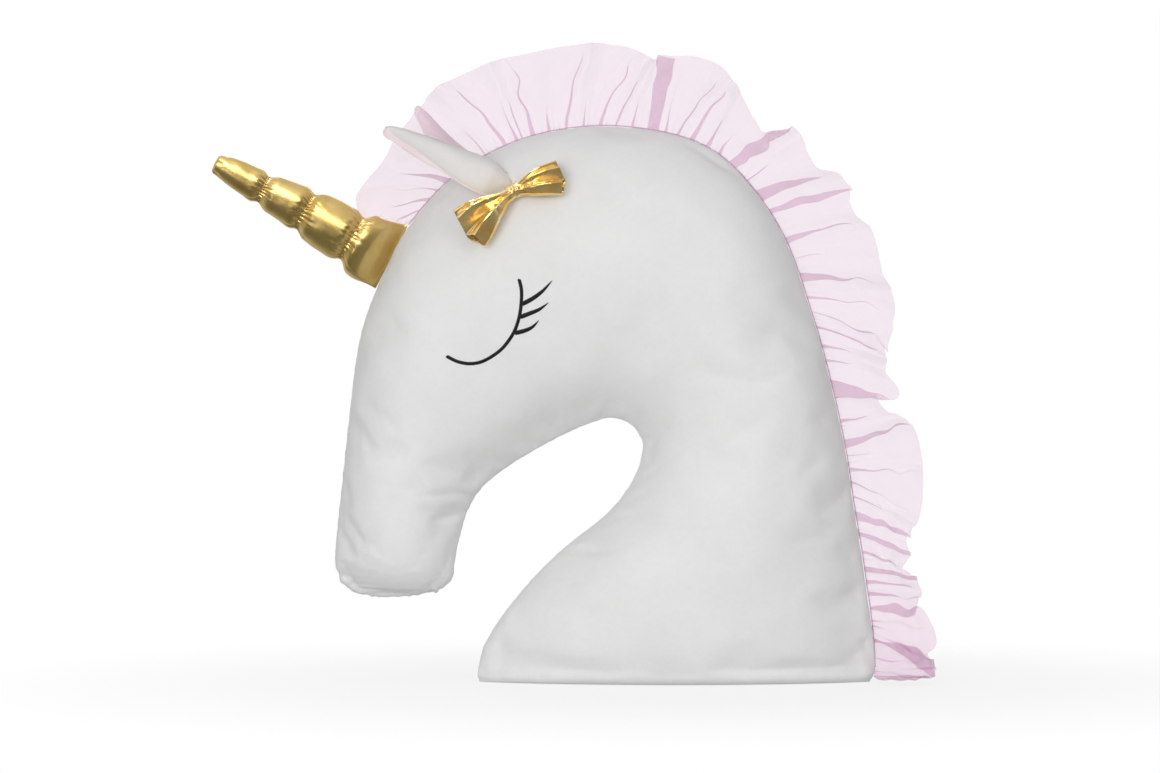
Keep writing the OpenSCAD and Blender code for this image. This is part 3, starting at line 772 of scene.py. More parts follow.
# Folds pressed into the ruffle: length along the seam at the root and at the free edge, how far
# the cloth doubles over at the root, half way and at the free edge, and how far out it reaches
FOLDS = [
    (-42, -42, 3, 3, 2, 1), (-31, -30, 2, 3, 2, 1), (-20, -21, 3, 3, 3, 1), (-9, -10, 2, 3, 2, 1),
    (4, -16, 1.5, 2, 1, 1), (16, -11, 3, 7, 10, 1), (24, -3, 4, 10, 15, 1), (31, 9, 7, 16, 22, 1),
    (37, 21, 3, 4, 2, 0.9), (42, 34, 5, 9, 12, 1), (47, 41, 3, 3, 1.5, 0.9), (54, 49, 3, 9, 12, 1),
    (65, 57, 3, 2.4, 1.6, 1), (74, 64, 3, 1.5, 0.8, 0.88), (84, 71, 4, 3, 2.4, 1),
    (97, 80, 3, 2, 1.2, 0.88), (110, 89, 3, 4, 3, 1), (124, 103, 6, 5, 3, 1),
    (139, 109, 1.5, 1, 0.3, 0.5), (150, 115, 2, 1.2, 0.9, 0.88), (159, 149, 2.5, 1.6, 1, 0.88),
    (169, 165, 1, 0.3, 0, 0.35), (178, 186, 6.5, 4, 1.6, 1), (196, 194, 2, 1.2, 0.2, 0.55),
    (221, 206, 15, 11, 6, 1), (243, 224, 2, 1, 0, 0.45), (254, 231, 2.5, 1.4, 0, 0.5),
    (269, 236, 1.6, 1.3, 0.9, 0.88), (281, 242, 1.8, 2.2, 3.6, 1), (292, 264, 2.2, 1.1, 0.7, 0.88),
    (308, 284, 7, 3.2, 0.9, 0.88), (323, 309, 1, 0.4, 0, 0.35), (338, 330, 5, 1.7, 0.9, 0.88),
    (362, 347, 4, 5.5, 1.6, 1), (377, 359, 10, 5.5, 1.1, 0.88), (391, 386, 1.6, 1, 0, 0.4),
    (407, 398, 7, 8.5, 1.5, 1), (420, 424, 3, 1.2, 0, 0.45), (430, 430, 3, 1.1, 0, 0.5),
    (443, 434, 3.2, 1.6, 0.7, 0.8), (454, 438, 1.8, 1.1, 0.9, 0.88), (463, 462, 3, 1.2, 0, 0.6),
    (473, 472, 8.5, 8.5, 8.5, 1), (489, 477, 1.4, 0.7, 0, 0.35), (501, 480, 2.2, 1.3, 0.4, 0.7),
    (513, 488, 2.6, 1.6, 1.3, 0.88), (525, 513, 1.8, 0.7, 0, 0.3), (538, 519, 3.2, 2.0, 0.9, 0.88),
    (551, 547, 1.8, 0.8, 0, 0.3), (563, 565, 3.2, 1.7, 1.0, 0.88), (572, 574, 2.4, 1.2, 0.3, 0.5),
    (576, 580, 2.2, 0.9, 0, 0.5), (585, 601, 3.4, 2.0, 0.9, 0.88), (602, 613, 2, 0.9, 0, 0.4),
    (616, 632, 2.6, 1.2, 0, 0.7), (627, 653, 2, 1, 0, 0.5), (636, 669, 4.5, 3.0, 0, 0.8),
    (646, 686, 2.0, 0.9, 0.2, 0.6), (655, 697, 3.4, 2.6, 1.0, 0.9), (666, 702, 3.2, 2.4, 1.2, 0.88),
    (675, 707, 2, 1.6, 1, 0.88),
]
# Width of the ruffle at its front end, by length along the seam at its root
FRONT_WIDTHS = np.array([
    (606, 59), (618, 52), (628, 46), (638, 46), (645, 45), (650, 38), (656, 29), (664, 20),
    (672, 15), (680, 11),
], float)
MANE_FOOT, MANE_TOP = 9.0, 680.0
TAIL_LENGTH = 52.0
TAIL_TURN_R, TAIL_Z = 8.0, 4.6
TAIL_RUN, TAIL_WIDTH = 34, 24
RUFFLE_ROWS, UV_ROW = 27, 15
ROOT_GAP = 0.3
SEAM_END_RIB = 14.4  # under the horn

seam_p, seam_n = outline(np.linspace(0, SEAM_END_RIB, 6500))
seam_a = lengths_along(seam_p)


def seam_frame(a):
    """Root and outward direction of the ruffle at lengths a along the seam."""
    p = np.stack([np.interp(a, seam_a, seam_p[:, k]) for k in (0, 1)], -1)
    n = unit(np.stack([np.interp(a, seam_a, seam_n[:, k]) for k in (0, 1)], -1))
    zero = np.zeros(a.shape)
    root = np.stack([p[..., 0] + n[..., 0] * ROOT_GAP, zero, p[..., 1] + n[..., 1] * ROOT_GAP], -1)
    out = np.stack([n[..., 0], zero, n[..., 1]], -1)
    return root, out


def foot_inset(z):
    """How far in the ruffle's sewn edge is drawn at heights z, in millimetres, above the base."""
    return base_inset(z) + 2.2 * np.clip(1 - z / 55, 0, 1)


def fold_shape(x):
    """An odd bump of unit height that carries cloth back over itself."""
    x = x / 0.7
    return x * np.exp(0.5 * (1 - x * x))


def averaged(values, reach):
    """Each value averaged with the few to either side of it."""
    kernel = np.ones(2 * reach + 1) / (2 * reach + 1)
    return np.convolve(np.pad(values, reach, mode="edge"), kernel, mode="valid")


def ruffle_columns():
    """Places along the cloth, close together where it folds."""
    at = MANE_FOOT - TAIL_LENGTH
    places = []
    roots = np.array([f[0] for f in FOLDS], float)
    wide = np.array([max(f[2:5]) * 0.5 + 2.0 for f in FOLDS])
    while at < MANE_TOP:
        places.append(at)
        near = (np.abs(at - roots) / wide).min()
        at += 0.22 + 1.1 * float(smoothstep(near, 0.8, 2.2))
    return np.array(places)


def press_folds(cloth, v, a, y, rng):
    """Lays the cloth over itself at each fold: three thicknesses, a little apart."""
    bow_way = rng.choice([-1, 1], len(FOLDS))
    for (root, _, w0, w1, w2, reach), way in zip(FOLDS, bow_way):
        wide = spline([w0, w1, w2], np.clip(v / reach, 0, 1) * 2)
        wide = wide * (0.68 + 0.32 * smoothstep(wide, 1.5, 4))
        fade = 1 - smoothstep(v, reach * 0.85, reach * 1.1) if reach < 1 else 1 + 0 * v
        pull = (np.maximum(wide, 0) + 0.84) / 0.65 * fade
        half = 0.25 * max(w0, w1, w2) * 1.5 + 0.6
        half_v = 0.25 * pull + 0.35 * half
        wander = (0.9 if root > 60 else 0.3) * ripple_1d(v * 60 + root, 26, int(root) + 500) * v
        shape = fold_shape((cloth[:, None] - root - wander) / half_v)
        a = a - 0.5 * pull * shape
        y = y + way * (0.8 + 0.16 * pull) * (0.55 + 0.6 * v) * shape * fade
    return a, y


def panel_swell(cloth, roots, rng):
    """How far the cloth between folds swells, to one side and then the other."""
    panel = np.interp(cloth, roots, np.arange(len(roots)))
    swing = rng.uniform(5.0, 8.5, len(roots)) * np.where(np.arange(len(roots)) % 2, 1, -1)
    amount = np.sin(np.pi * (panel % 1)) * swing[np.clip(panel.astype(int), 0, len(roots) - 1)]
    gap = np.diff(roots)[np.clip(panel.astype(int), 0, len(roots) - 2)]
    return averaged(amount * np.clip(gap / 16, 0.45, 1), 4)


def sewn_gathers(cloth, v, rng):
    """Small gathers right at the sewn edge: how far they move the cloth along and sideways."""
    fine = 2 * np.pi * cloth / 5.6 + 1.3 * ripple_1d(cloth, 30, 43)
    reach = spline(rng.uniform(0.05, 0.16, 160), np.interp(cloth, [cloth[0], cloth[-1]], [0, 150]))
    gather = np.exp(-v / reach[:, None])
    return (-0.75 * np.sin(2 * fine))[:, None] * gather, np.sin(fine)[:, None] * gather


def ruffle_width(cloth, drift):
    """How far the ruffle reaches out from its seam."""
    width = np.interp(np.maximum(cloth + drift, 0), RUFFLE_WIDTHS[:, 0], RUFFLE_WIDTHS[:, 1])
    front_width = np.interp(cloth, FRONT_WIDTHS[:, 0], FRONT_WIDTHS[:, 1])
    width = np.where(cloth < FRONT_WIDTHS[0, 0], width, front_width)
    return averaged(width, 6) * (1 + 0.005 * ripple_1d(cloth, 26, 42))


def loose_end(t, root, out):
    """Turns the loose end down onto the surface below, then along it towards the near side."""
    bend = np.pi / 2 * np.minimum(1, t / 0.35)
    run = TAIL_RUN * np.maximum(0, (t - 0.35) / 0.65)
    fall = root[..., 2] + (TAIL_Z + TAIL_TURN_R - root[..., 2]) * np.minimum(1, t / 0.2)
    across = -TAIL_TURN_R * (1 - np.cos(bend)) - run
    tail_root = np.stack([root[..., 0] + 3 * t, across, fall - TAIL_TURN_R * np.sin(bend)], -1)
    sideways = np.stack([0 * t, np.cos(bend), -np.sin(bend)], -1)
    tail = (t > 0)[..., None]
    return np.where(tail, tail_root, root), np.where(tail, np.array([1.0, 0, 0]), out), sideways


def ruffle():
    """The whole gathered strip: a is length along the seam, v the share of its width, y sideways."""
    rng = np.random.default_rng(5)
    cloth = ruffle_columns()
    rows = np.linspace(0, 1, RUFFLE_ROWS) ** 0.85
    v = rows[None, :]
    roots = np.array([f[0] for f in FOLDS], float)
    tips = np.array([f[1] for f in FOLDS], float)
    drift = spline(tips - roots, np.interp(cloth, roots, np.arange(len(roots))))
    a = cloth[:, None] + drift[:, None] * v**1.15
    a, y = press_folds(cloth, v, a, np.zeros_like(a), rng)
    y = y + panel_swell(cloth, roots, rng)[:, None] * v**0.9
    along, sideways = sewn_gathers(cloth, v, rng)
    a, y = a + along, y + sideways
    # Slow waves, stronger near the foot
    where = np.stack([np.repeat(cloth[:, None], len(rows), 1), np.repeat(v, len(cloth), 0) * 60], -1)
    lower = np.exp(-((np.maximum(cloth, 0) / 115) ** 2))[:, None]
    y = y + ripple(where, 24, 45) * (0.3 + 0.7 * v + 1.2 * lower * v)
    a = a + ripple(where, 22, 46) * (0.35 + 0.45 * lower) * v
    # The front end fans forward and passes behind the horn
    front = smoothstep(cloth, 636, MANE_TOP)[:, None]
    y = y * (1 - 0.35 * front) + 9 * front * v
    t = np.clip((MANE_FOOT - a) / TAIL_LENGTH, 0, 1)
    root, out, side = loose_end(t, *seam_frame(np.maximum(a, MANE_FOOT)))
    width = ruffle_width(cloth, drift)[:, None]
    rise = (width + (TAIL_WIDTH - width) * smoothstep(t, 0.1, 1)) * v
    y = y * (1 - 0.72 * smoothstep(t, 0.05, 0.4))
    p = root + out * rise[..., None] + side * y[..., None]
    # Its sewn edge follows the rounded corner of the base
    p[..., 0] -= foot_inset(root[..., 2]) * (1 - smoothstep(rise, 0, 20))
    p[..., 2] = np.maximum(p[..., 2], 0.5)
    gone = lengths_along(p[:, UV_ROW])
    uvs = np.stack([np.repeat(gone[:, None], len(rows), 1), np.repeat(v, len(cloth), 0) * 62], -1) * MM
    faces = grid_faces(len(cloth), len(rows))
    return make_piece("mane_ruffle", p.reshape(-1, 3) * MM, faces, TULLE, uvs.reshape(-1, 2))


mane = ruffle()
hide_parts("mane_crown_ruffle", "mane_nape_ruffle")
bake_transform(mane)


def gathering_thread():
    a = np.linspace(MANE_FOOT, MANE_TOP, 900)
    root, out = seam_frame(a)
    sway = 0.55 * np.sin(2 * np.pi * a / 6.3)
    path = root + np.stack([-foot_inset(root[:, 2]), sway, 0 * a], -1) + out * 0.5
    obj = tube("mane_thread", path * MM, 0.42 * MM, PINK_THREAD, sides=6)
    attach(obj, "cushion")
    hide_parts("mane_gathering_thread")


gathering_thread()


# ---- Horn ------------------------------------------------------------------------------

# Distance from the seam, half width along the seam, half depth, in millimetres
HORN_SECTIONS = np.array([
    (-3.2, 26.2, 0.9), (0, 26, 2.2), (7, 25.4, 12.5), (14.5, 25.2, 18.6), (22.5, 23.6, 20.2),
    (29.3, 18.6, 18.6), (35, 20.4, 20.4), (43, 21.0, 21.0), (54.5, 20.2, 20.2), (63.3, 18, 18),
    (69.6, 15.6, 15.6), (76, 16.6, 16.6), (86, 15.9, 15.9), (96.5, 13.9, 13.9), (105.1, 11.3, 11.3),
    (111, 12.2, 12.2), (121, 11.7, 11.7), (131, 10.4, 10.4), (140, 8.8, 8.8), (144.8, 7.7, 6.9),
    (146.5, 6.2, 4.6), (147, 2.0, 1.2),
], float)
HORN_START, HORN_LENGTH = HORN_SECTIONS[0, 0], HORN_SECTIONS[-1, 0]
HORN_RINGS = [29.3, 69.6, 105.1]
HORN_SLANT = [-0.15, -0.04, 0.03]
HORN_ROOT = np.array([-216.67, 0.0, 319.824])
HORN_ALONG = np.array([0.454529, 0.0, 0.890732])
HORN_OUT = np.array([-0.890732, 0.0, 0.454529])
HORN_SIDE = np.array([0.0, 1.0, 0.0])
HORN_LIFT = 0.3


def horn_axis(t):
    """How far the middle of the horn has bent away from straight, at distances t from its seam."""
    sag = 2.0 * np.exp(-(((t - 18) / 11) ** 2))
    return 0.019 * np.maximum(t, 0) - 1.2 * np.sin(np.pi * np.clip(t / 75, 0, 1)) - sag


def horn_place(t, w, d):
    """Millimetres along, across the seam plane and to the side, turned into places."""
    t, w, d = np.broadcast_arrays(t, w, d)
    return (
        HORN_ROOT
        + t[..., None] * HORN_OUT
        + (w + horn_axis(t))[..., None] * HORN_ALONG
        + d[..., None] * HORN_SIDE
    )


def ring_gathers(press, tt, aa, half_w, size, rng):
    """Presses in the creases that run out from each gathered ring, and swells the cloth beside it."""
    for ring, slant in zip(HORN_RINGS, HORN_SLANT):
        here = tt - ring - slant * half_w * np.cos(aa)
        count = int(rng.integers(30, 35))
        for i in range(count):
            middle = 2 * np.pi * (i + rng.uniform(-0.3, 0.3)) / count
            drift = rng.uniform(-0.018, 0.018)
            gap = half_turns(aa - middle - drift * here)
            for way in (-1, 1):
                long = rng.uniform(2.5, 6.0) if rng.random() < 0.8 else rng.uniform(6.0, 11)
                deep = rng.uniform(0.6, 1.8)
                wide = 0.62 + 0.10 * np.abs(here)
                valley = np.exp(-((gap * size / wide) ** 2)) * np.exp(-((np.abs(here) / long) ** 1.6))
                press -= deep * valley * (here * way >= 0)
        waist = np.exp(-((here / 3.0) ** 2))
        press -= 0.9 * waist
        press += 0.55 * np.exp(-(((np.abs(here) - 7.5) / 4.0) ** 2))


def soft_folds(press, tt, aa, size, rng):
    """Long soft folds over each bulge."""
    for _ in range(26):
        middle = np.array([rng.uniform(6, 142), rng.uniform(0, 2 * np.pi)])
        lean, long = rng.uniform(-0.9, 0.9), rng.uniform(6, 16)
        wide, deep = rng.uniform(2.4, 4.4), rng.uniform(-0.3, 0.22)
        gap_t = tt - middle[0]
        gap_a = half_turns(aa - middle[1]) * size
        down = gap_t * math.cos(lean) + gap_a * math.sin(lean)
        cross = gap_a * math.cos(lean) - gap_t * math.sin(lean)
        press += deep * np.exp(-((down / long) ** 2)) * np.exp(-((cross / wide) ** 2))


def horn_cover():
    rng = np.random.default_rng(9)
    tip = HORN_LENGTH - 3
    t = np.concatenate([np.arange(HORN_START, tip, 0.8), np.linspace(tip, HORN_LENGTH, 10)])
    a = np.linspace(0, 2 * np.pi, 216, endpoint=False)
    index = np.interp(t, HORN_SECTIONS[:, 0], np.arange(len(HORN_SECTIONS)))
    half = spline(HORN_SECTIONS, index)
    half_w, half_d = half[:, 1][:, None], half[:, 2][:, None]
    tt, aa = np.meshgrid(t, a, indexing="ij")
    size = np.sqrt(half_w * half_d)
    press = np.zeros_like(tt)
    ring_gathers(press, tt, aa, half_w, size, rng)
    soft_folds(press, tt, aa, size, rng)
    soft = np.stack([tt, size * np.cos(aa), size * np.sin(aa)], -1)
    press += 0.2 * ripple(soft, 26, 51) + 0.02 * ripple(soft, 9, 52)
    press *= smoothstep(tt, 0, 6) * (1 - 0.75 * smoothstep(tt, 140, HORN_LENGTH))
    # The blunt end is folded over in a few flat tucks
    tuck = smoothstep(tt, 136, 145) * (1 - smoothstep(tt, 145, HORN_LENGTH))
    press -= tuck * 1.1 * (0.5 + 0.5 * np.cos(5 * aa + 0.6)) ** 2
    w = (half_w + press) * np.cos(aa)
    d = (half_d + press * np.minimum(1, half_d / 10)) * np.sin(aa)
    p = horn_place(HORN_LIFT + tt, w, d)
    obj = make_piece("horn_lame_cover", p.reshape(-1, 3) * MM, capped_faces(len(t), len(a)), LAME)
    weld(obj)
    return obj


horn = horn_cover()
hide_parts("horn_cover")
horn_fibre = loose_core("horn_fibre", "horn_filling", 3 * MM, FIBRE)
for obj in (horn, horn_fibre):
    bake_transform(obj)
for ring, slant, word in zip(HORN_RINGS, HORN_SLANT, ("lower", "middle", "upper")):
    section = spline(HORN_SECTIONS, np.interp(ring, HORN_SECTIONS[:, 0], np.arange(len(HORN_SECTIONS))))
    turn = np.linspace(0, 2 * np.pi, 180, endpoint=False)
    reach = section[1] - 1.7 + 0.25 * np.sin(21 * turn)
    across = reach * np.cos(turn)
    path = horn_place(HORN_LIFT + ring + slant * across, across, reach * np.sin(turn))
    thick = 0.62 * MM * (1 + 0.16 * np.sin(60 * turn))
    cord = tube(f"horn_thread_{word}", path * MM, thick, GOLD_THREAD, closed=True)
    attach(cord, "horn")
    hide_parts(f"horn_gather_thread_{word}")


# ---- Ears ------------------------------------------------------------------------------

# Distance from the base, lower edge and upper edge, in millimetres
EAR_LEAF = np.array([
    (-9, -9, 5), (-4, -12, 7), (1.2, -15, 9), (8, -18.6, 10.6), (20, -20.4, 10.8),
    (32, -18.6, 9.4), (45, -15.8, 8), (60, -12.8, 6.8), (73, -9.8, 5.8), (84, -6.4, 4.4),
    (90, -3.6, 2.8), (92.3, -0.8, 0.8),
], float)
EARS = {
    "near": {
        "base": (-132.421, -42.157, 375.803), "axis": (-0.912293, -0.052336, 0.406179),
        "blade": (0.336681, 0.468828, 0.816606), "side": NEAR, "seed": 61, "curve": 0.0, "shown": 1.9,
    },
    "far": {
        "base": (-132.421, 42.157, 375.803), "axis": (-0.709629, 0.241922, 0.66174),
        "blade": (0.519105, -0.455526, 0.723205), "side": FAR, "seed": 71, "curve": 8.0, "shown": 1.0,
    },
}
EAR_CUP = 7.0
EAR_TIP = 92


def ear_surface(ear, lift, swell, margin):
    """A grid of places over one ear: lift moves it off the middle cloth, swell fattens it."""
    axis, blade = np.array(ear["axis"]), np.array(ear["blade"])
    back = unit(np.cross(blade, axis)) * (1 if ear["side"] == NEAR else -1)
    index = np.linspace(0, len(EAR_LEAF) - 1, 90)
    leaf = spline(EAR_LEAF, index)
    far, low, up = leaf[:, 0][:, None], leaf[:, 1][:, None], leaf[:, 2][:, None]
    turn = np.linspace(-np.pi / 2, np.pi / 2, 41)[None, :]
    v = np.sin(turn)
    shown = margin * (0.3 + 1.3 * smoothstep(far, 34, 60))
    middle, half = (low + up - shown) / 2, (up - low + shown) / 2
    cup = EAR_CUP * np.clip(half / 10, 0, 1) * (1 - v * v)
    round_off = np.sqrt(np.clip(1 - v * v, 0, 1)) * np.clip(half / 6, 0.15, 1)
    off = lift * round_off + swell * round_off * (1 - 0.5 * smoothstep(far, 60, EAR_TIP))
    across = middle + half * v
    soft = np.stack([np.broadcast_to(far, across.shape), across], -1)
    off = off + 0.22 * ripple(soft, 18, ear["seed"]) * round_off
    # The base sinks into the head
    off = off - 5.5 * (1 - smoothstep(far, -9, 9))
    # The lower border rolls outward
    roll = smoothstep(-v, 0.62, 1.0) * smoothstep(far, 4, 22) * (1 - smoothstep(far, 80, EAR_TIP))
    sag = -1.2 * smoothstep(far, 50, EAR_TIP) - ear["curve"] * np.sin(np.pi * np.clip(far / EAR_TIP, 0, 1))
    return (
        np.array(ear["base"])
        + axis * far[..., None]
        + blade * (across + sag + 1.2 * roll)[..., None]
        + back * (cup + off + 2.0 * roll)[..., None]
    )


def ear_piece(name, ear, inner, outer, material, margin=0.0):
    """One cloth of an ear, closed; inner and outer are the lift and swell of its two faces."""
    a, b = ear_surface(ear, *inner, margin), ear_surface(ear, *outer, margin)
    ring = np.concatenate([a, b[:, ::-1]], 1)
    obj = make_piece(name, ring.reshape(-1, 3) * MM, capped_faces(*ring.shape[:2]), material)
    weld(obj, 1e-5)
    return obj


for word, ear in EARS.items():
    # The near ear gets the velour and lining copies with painted shade, the far ear the lining copy with
    # painted light
    cloth = NEAR_EAR_VELOUR_PAINTED_SHADE if word == "near" else VELOUR
    outer = ear_piece(f"{word}_ear_velour", ear, (0.05, 0.0), (2.0, 2.6), cloth)
    lining = ear_piece(
        f"{word}_ear_lining_cloth", ear, (-0.05, 0.0), (-1.1, -0.5), EAR_LININGS_PAINTED_SHADE_AND_LIGHT[word], margin=ear["shown"]
    )
    base, axis, blade = (np.array(ear[key]) for key in ("base", "axis", "blade"))
    for obj, slot, node in (
        (outer, "velour_white", f"{word}_ear_outer"), (lining, "ear_lining_pink", f"{word}_ear_lining"),
    ):
        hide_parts(node)
        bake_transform(obj)
    threads = []
    for i in range(-2, 3):
        foot = base + blade * i * 3.6 - axis * 4
        ends = [skin(*(foot + axis * k)[[0, 2]], ear["side"]) for k in (-1.8, -0.6, 0.6, 1.8)]
        path = [q + n * k * MM for (q, n), k in zip(ends, (-0.5, 0.35, 0.35, -0.5))]
        line = spline(path, np.linspace(0, 3, 13))
        threads.append(tube(f"ear_thread_{i}", line, 0.38 * MM, WHITE_THREAD))
    stitches = joined(f"{word}_ear_threads", threads)
    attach(stitches, "cushion")
    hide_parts(f"{word}_ear_stitches")


# ---- Bow -------------------------------------------------------------------------------

BOW_CENTRE = np.array([-121.856, -59.171, 365.137])
BOW_AXIS = np.array([0.869415, 0.049647, 0.491582])
BOW_ACROSS = np.array([-0.454691, 0.469694, 0.756732])
BOW_NORMAL = np.array([-0.193324, -0.881432, 0.430933])
# One loop: half thickness and half width at shares of its length; its reach at the bottom, middle
# and top of its open end; its pressed folds as places across it, each raised or sunk by so much
LOOP_SHARES = np.array([0, 0.1, 0.2, 0.35, 0.55, 0.8, 1.0])
LOOP_THICKNESS = np.array([3.2, 3.3, 4.0, 5.4, 6.4, 6.0, 4.4])
LOOPS = {
    "left": {
        "way": -1, "half": [3.9, 4.2, 5.0, 8.2, 12.4, 16.8, 19.6], "reach": (38.0, 46.0, 45.0), "seed": 83,
        "folds": [(-1, 0), (-0.62, 2.4), (-0.22, -4.6), (0.3, 4.4), (0.62, -2.0), (0.86, 1.6), (1, 0)],
    },
    "right": {
        "way": 1, "half": [3.9, 4.2, 5.0, 7.6, 10.2, 12.0, 13.2], "reach": (30.0, 37.5, 38.5), "seed": 87,
        "folds": [(-1, 0), (-0.6, 1.8), (-0.24, -3.4), (0.2, 3.2), (0.52, -2.4), (0.8, 1.8), (1, 0)],
    },
}
LOOP_DROOP = 7.4
FOIL_THICKNESS = 0.4


def bow_place(x, y, z):
    x, y, z = np.broadcast_arrays(x, y, z)
    return BOW_CENTRE + x[..., None] * BOW_AXIS + y[..., None] * BOW_ACROSS + z[..., None] * BOW_NORMAL


def thickened(obj, thickness):
    """Gives obj a wall, all of it inside the surface it had."""
    wall = obj.modifiers.new("foil", "SOLIDIFY")
    wall.thickness = thickness * MM
    wall.offset = -1
    apply_modifiers(obj)


def folded(at, places, heights):
    """Heights between folds: flat faces rounded off towards each fold."""
    index = np.interp(at, places, np.arange(len(places)))
    low = np.clip(index.astype(int), 0, len(places) - 2)
    share = index - low
    share = 0.25 * share + 0.75 * share * share * (3 - 2 * share)
    return heights[low] + (heights[low + 1] - heights[low]) * share


def bow_loop(name, loop):
    """A flattened tube of foil with sharp folds, gathered at the knot and open at its far end."""
    rng = np.random.default_rng(loop["seed"])
    r = np.linspace(0, 1, 90)[:, None]
    a = np.linspace(0, 2 * np.pi, 240, endpoint=False)[None, :]
    index = np.interp(r[:, 0], LOOP_SHARES, np.arange(len(LOOP_SHARES)))
    half, thick = spline(loop["half"], index)[:, None], spline(LOOP_THICKNESS, index)[:, None]
    across = np.cos(a) + 0 * r
    upper = np.sin(a) >= 0
    z = thick * np.sign(np.sin(a)) * np.abs(np.sin(a)) ** 0.8
    places, heights = np.array(loop["folds"]).T
    sway = 0.07 * np.sin(4.2 * r + loop["seed"]) * (1 - across**2)
    near = folded(across + sway, places, heights)
    far = 0.7 * folded(sway - across, places, heights)
    fold = np.where(upper, 1.25 * near, -far) * (0.25 + 0.75 * smoothstep(r, 0.1, 0.75))
    for _ in range(11):
        # Short sharp creases
        at = np.array([rng.uniform(0.2, 1.0), rng.uniform(-0.9, 0.9)])
        angle, long = rng.uniform(0, np.pi), rng.uniform(4, 9)
        dx, dy = (r - at[0]) * loop["reach"][1], (across - at[1]) * half
        down = dx * math.cos(angle) + dy * math.sin(angle)
        off = dy * math.cos(angle) - dx * math.sin(angle)
        mask = upper if rng.random() < 0.6 else ~upper
        tent = np.exp(-((down / long) ** 2)) * np.maximum(0, 1 - np.abs(off) / 2.2)
        fold += mask * rng.uniform(-0.9, 0.9) * tent
    # Fine gathers where the loop goes into the knot
    fold += 0.5 * np.sin(14 * across + 3 * np.sin(3 * across)) * (1 - smoothstep(r, 0.08, 0.4))
    z = z + fold * (1 - np.abs(across) ** 8)
    y = half * across * (1 + 0.02 * np.sin(9 * r + loop["seed"])) - LOOP_DROOP * r**0.75
    reach = np.interp(across, (-1, -0.15, 1), loop["reach"])
    x = loop["way"] * r * reach
    z = z - 2.5 * r**2 + 2.0 * np.sin(np.pi * r)
    p = bow_place(x, y, z)
    faces = grid_faces(len(r), a.shape[1], wrap=True, flip=loop["way"] > 0)
    obj = make_piece(name, p.reshape(-1, 3) * MM, faces, FOIL)
    thickened(obj, FOIL_THICKNESS)
    return obj


bow = joined("bow_foil_loops", [bow_loop(f"bow_{word}", loop) for word, loop in LOOPS.items()])
bow.data.shade_smooth()
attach(bow, "bow")
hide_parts("bow_loops")


def knot_wrap():
    """A crumpled band of foil round the middle of the bow."""
    rng = np.random.default_rng(91)
    x = np.linspace(-4.8, 4.8, 40)[:, None]
    a = np.linspace(0, 2 * np.pi, 110, endpoint=False)[None, :]
    reach = 5.4 + 0.9 * np.cos(np.pi * x / 10.5) + 0 * a
    for _ in range(7):
        at, deep = rng.uniform(-4.2, 4.2), rng.uniform(0.35, 0.9)
        sway = 1.1 * np.sin(a + rng.uniform(0, 6.28))
        reach = reach - deep * np.maximum(0, 1 - np.abs(x - at - sway) / 1.0)
    soft = np.stack([x + 0 * a, 6 * np.cos(a) + 0 * x, 6 * np.sin(a) + 0 * x], -1)
    reach = reach + 0.25 * ripple(soft, 5, 92)
    p = bow_place(x + 0.5 * np.sin(2 * a), reach * np.cos(a) * 0.98, reach * np.sin(a) * 0.92)
    faces = grid_faces(len(x), a.shape[1], wrap=True)
    obj = make_piece("bow_knot_band", p.reshape(-1, 3) * MM, faces, FOIL)
    thickened(obj, 0.8)
    weld(obj)
    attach(obj, "bow")
    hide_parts("bow_knot_wrap")


knot_wrap()


TACK = (-120, 361)


def tack():
    """Two strands of thread that hold the knot to the head."""
    strands = []
    for off in (-0.8, 0.8):
        foot, n = skin(TACK[0] + off, TACK[1], NEAR)
        top = (BOW_CENTRE + BOW_AXIS * off * 0.6 - BOW_NORMAL * 5.2) * MM
        path = [foot - n * 0.6 * MM, foot + (top - foot) * 0.5 + n * 0.1 * MM, top]
        strands.append(tube(f"tack_{off}", spline(path, np.linspace(0, 2, 9)), 0.5 * MM, WHITE_THREAD))
    obj = joined("bow_tack", strands)
    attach(obj, "cushion")
    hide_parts("bow_tack_thread")


tack()


# ---- Closing stitches ------------------------------------------------------------------


def closing():
    """The hand-sewn row low on the far side."""
    threads = []
    for i, x in enumerate(range(-36, 37, 9)):
        q, n = skin(x, 4.4, FAR)
        low = np.array([x * MM, q[1] - 3.4 * MM, 1.2 * MM])
        path = [q - n * 0.5 * MM, q + n * 0.4 * MM - np.array([0, 0, 1.2 * MM]), low]
        threads.append(tube(f"closing_{i}", spline(path, np.linspace(0, 2, 11)), 0.4 * MM, WHITE_THREAD))
    obj = joined("closing_threads", threads)
    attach(obj, "cushion")
    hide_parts("closing_stitches")


closing()


# ---- Floor, light and camera -----------------------------------------------------------


def smooth_range(tree, value, *ends):
    """Eases from the third to the fourth of ends while value runs from the first to the second."""
    node = tree.nodes.new("ShaderNodeMapRange")
    node.interpolation_type = "SMOOTHSTEP"
    for key, end in zip(("From Min", "From Max", "To Min", "To Max"), ends):
        node.inputs[key].default_value = end
    tree.links.new(value, node.inputs["Value"])
    return node.outputs["Result"]


FLOOR_RINGS = np.array([0, 0.8, 1.6, 3.2, 8.0, 20.0])
FLOOR_SIDES = 64


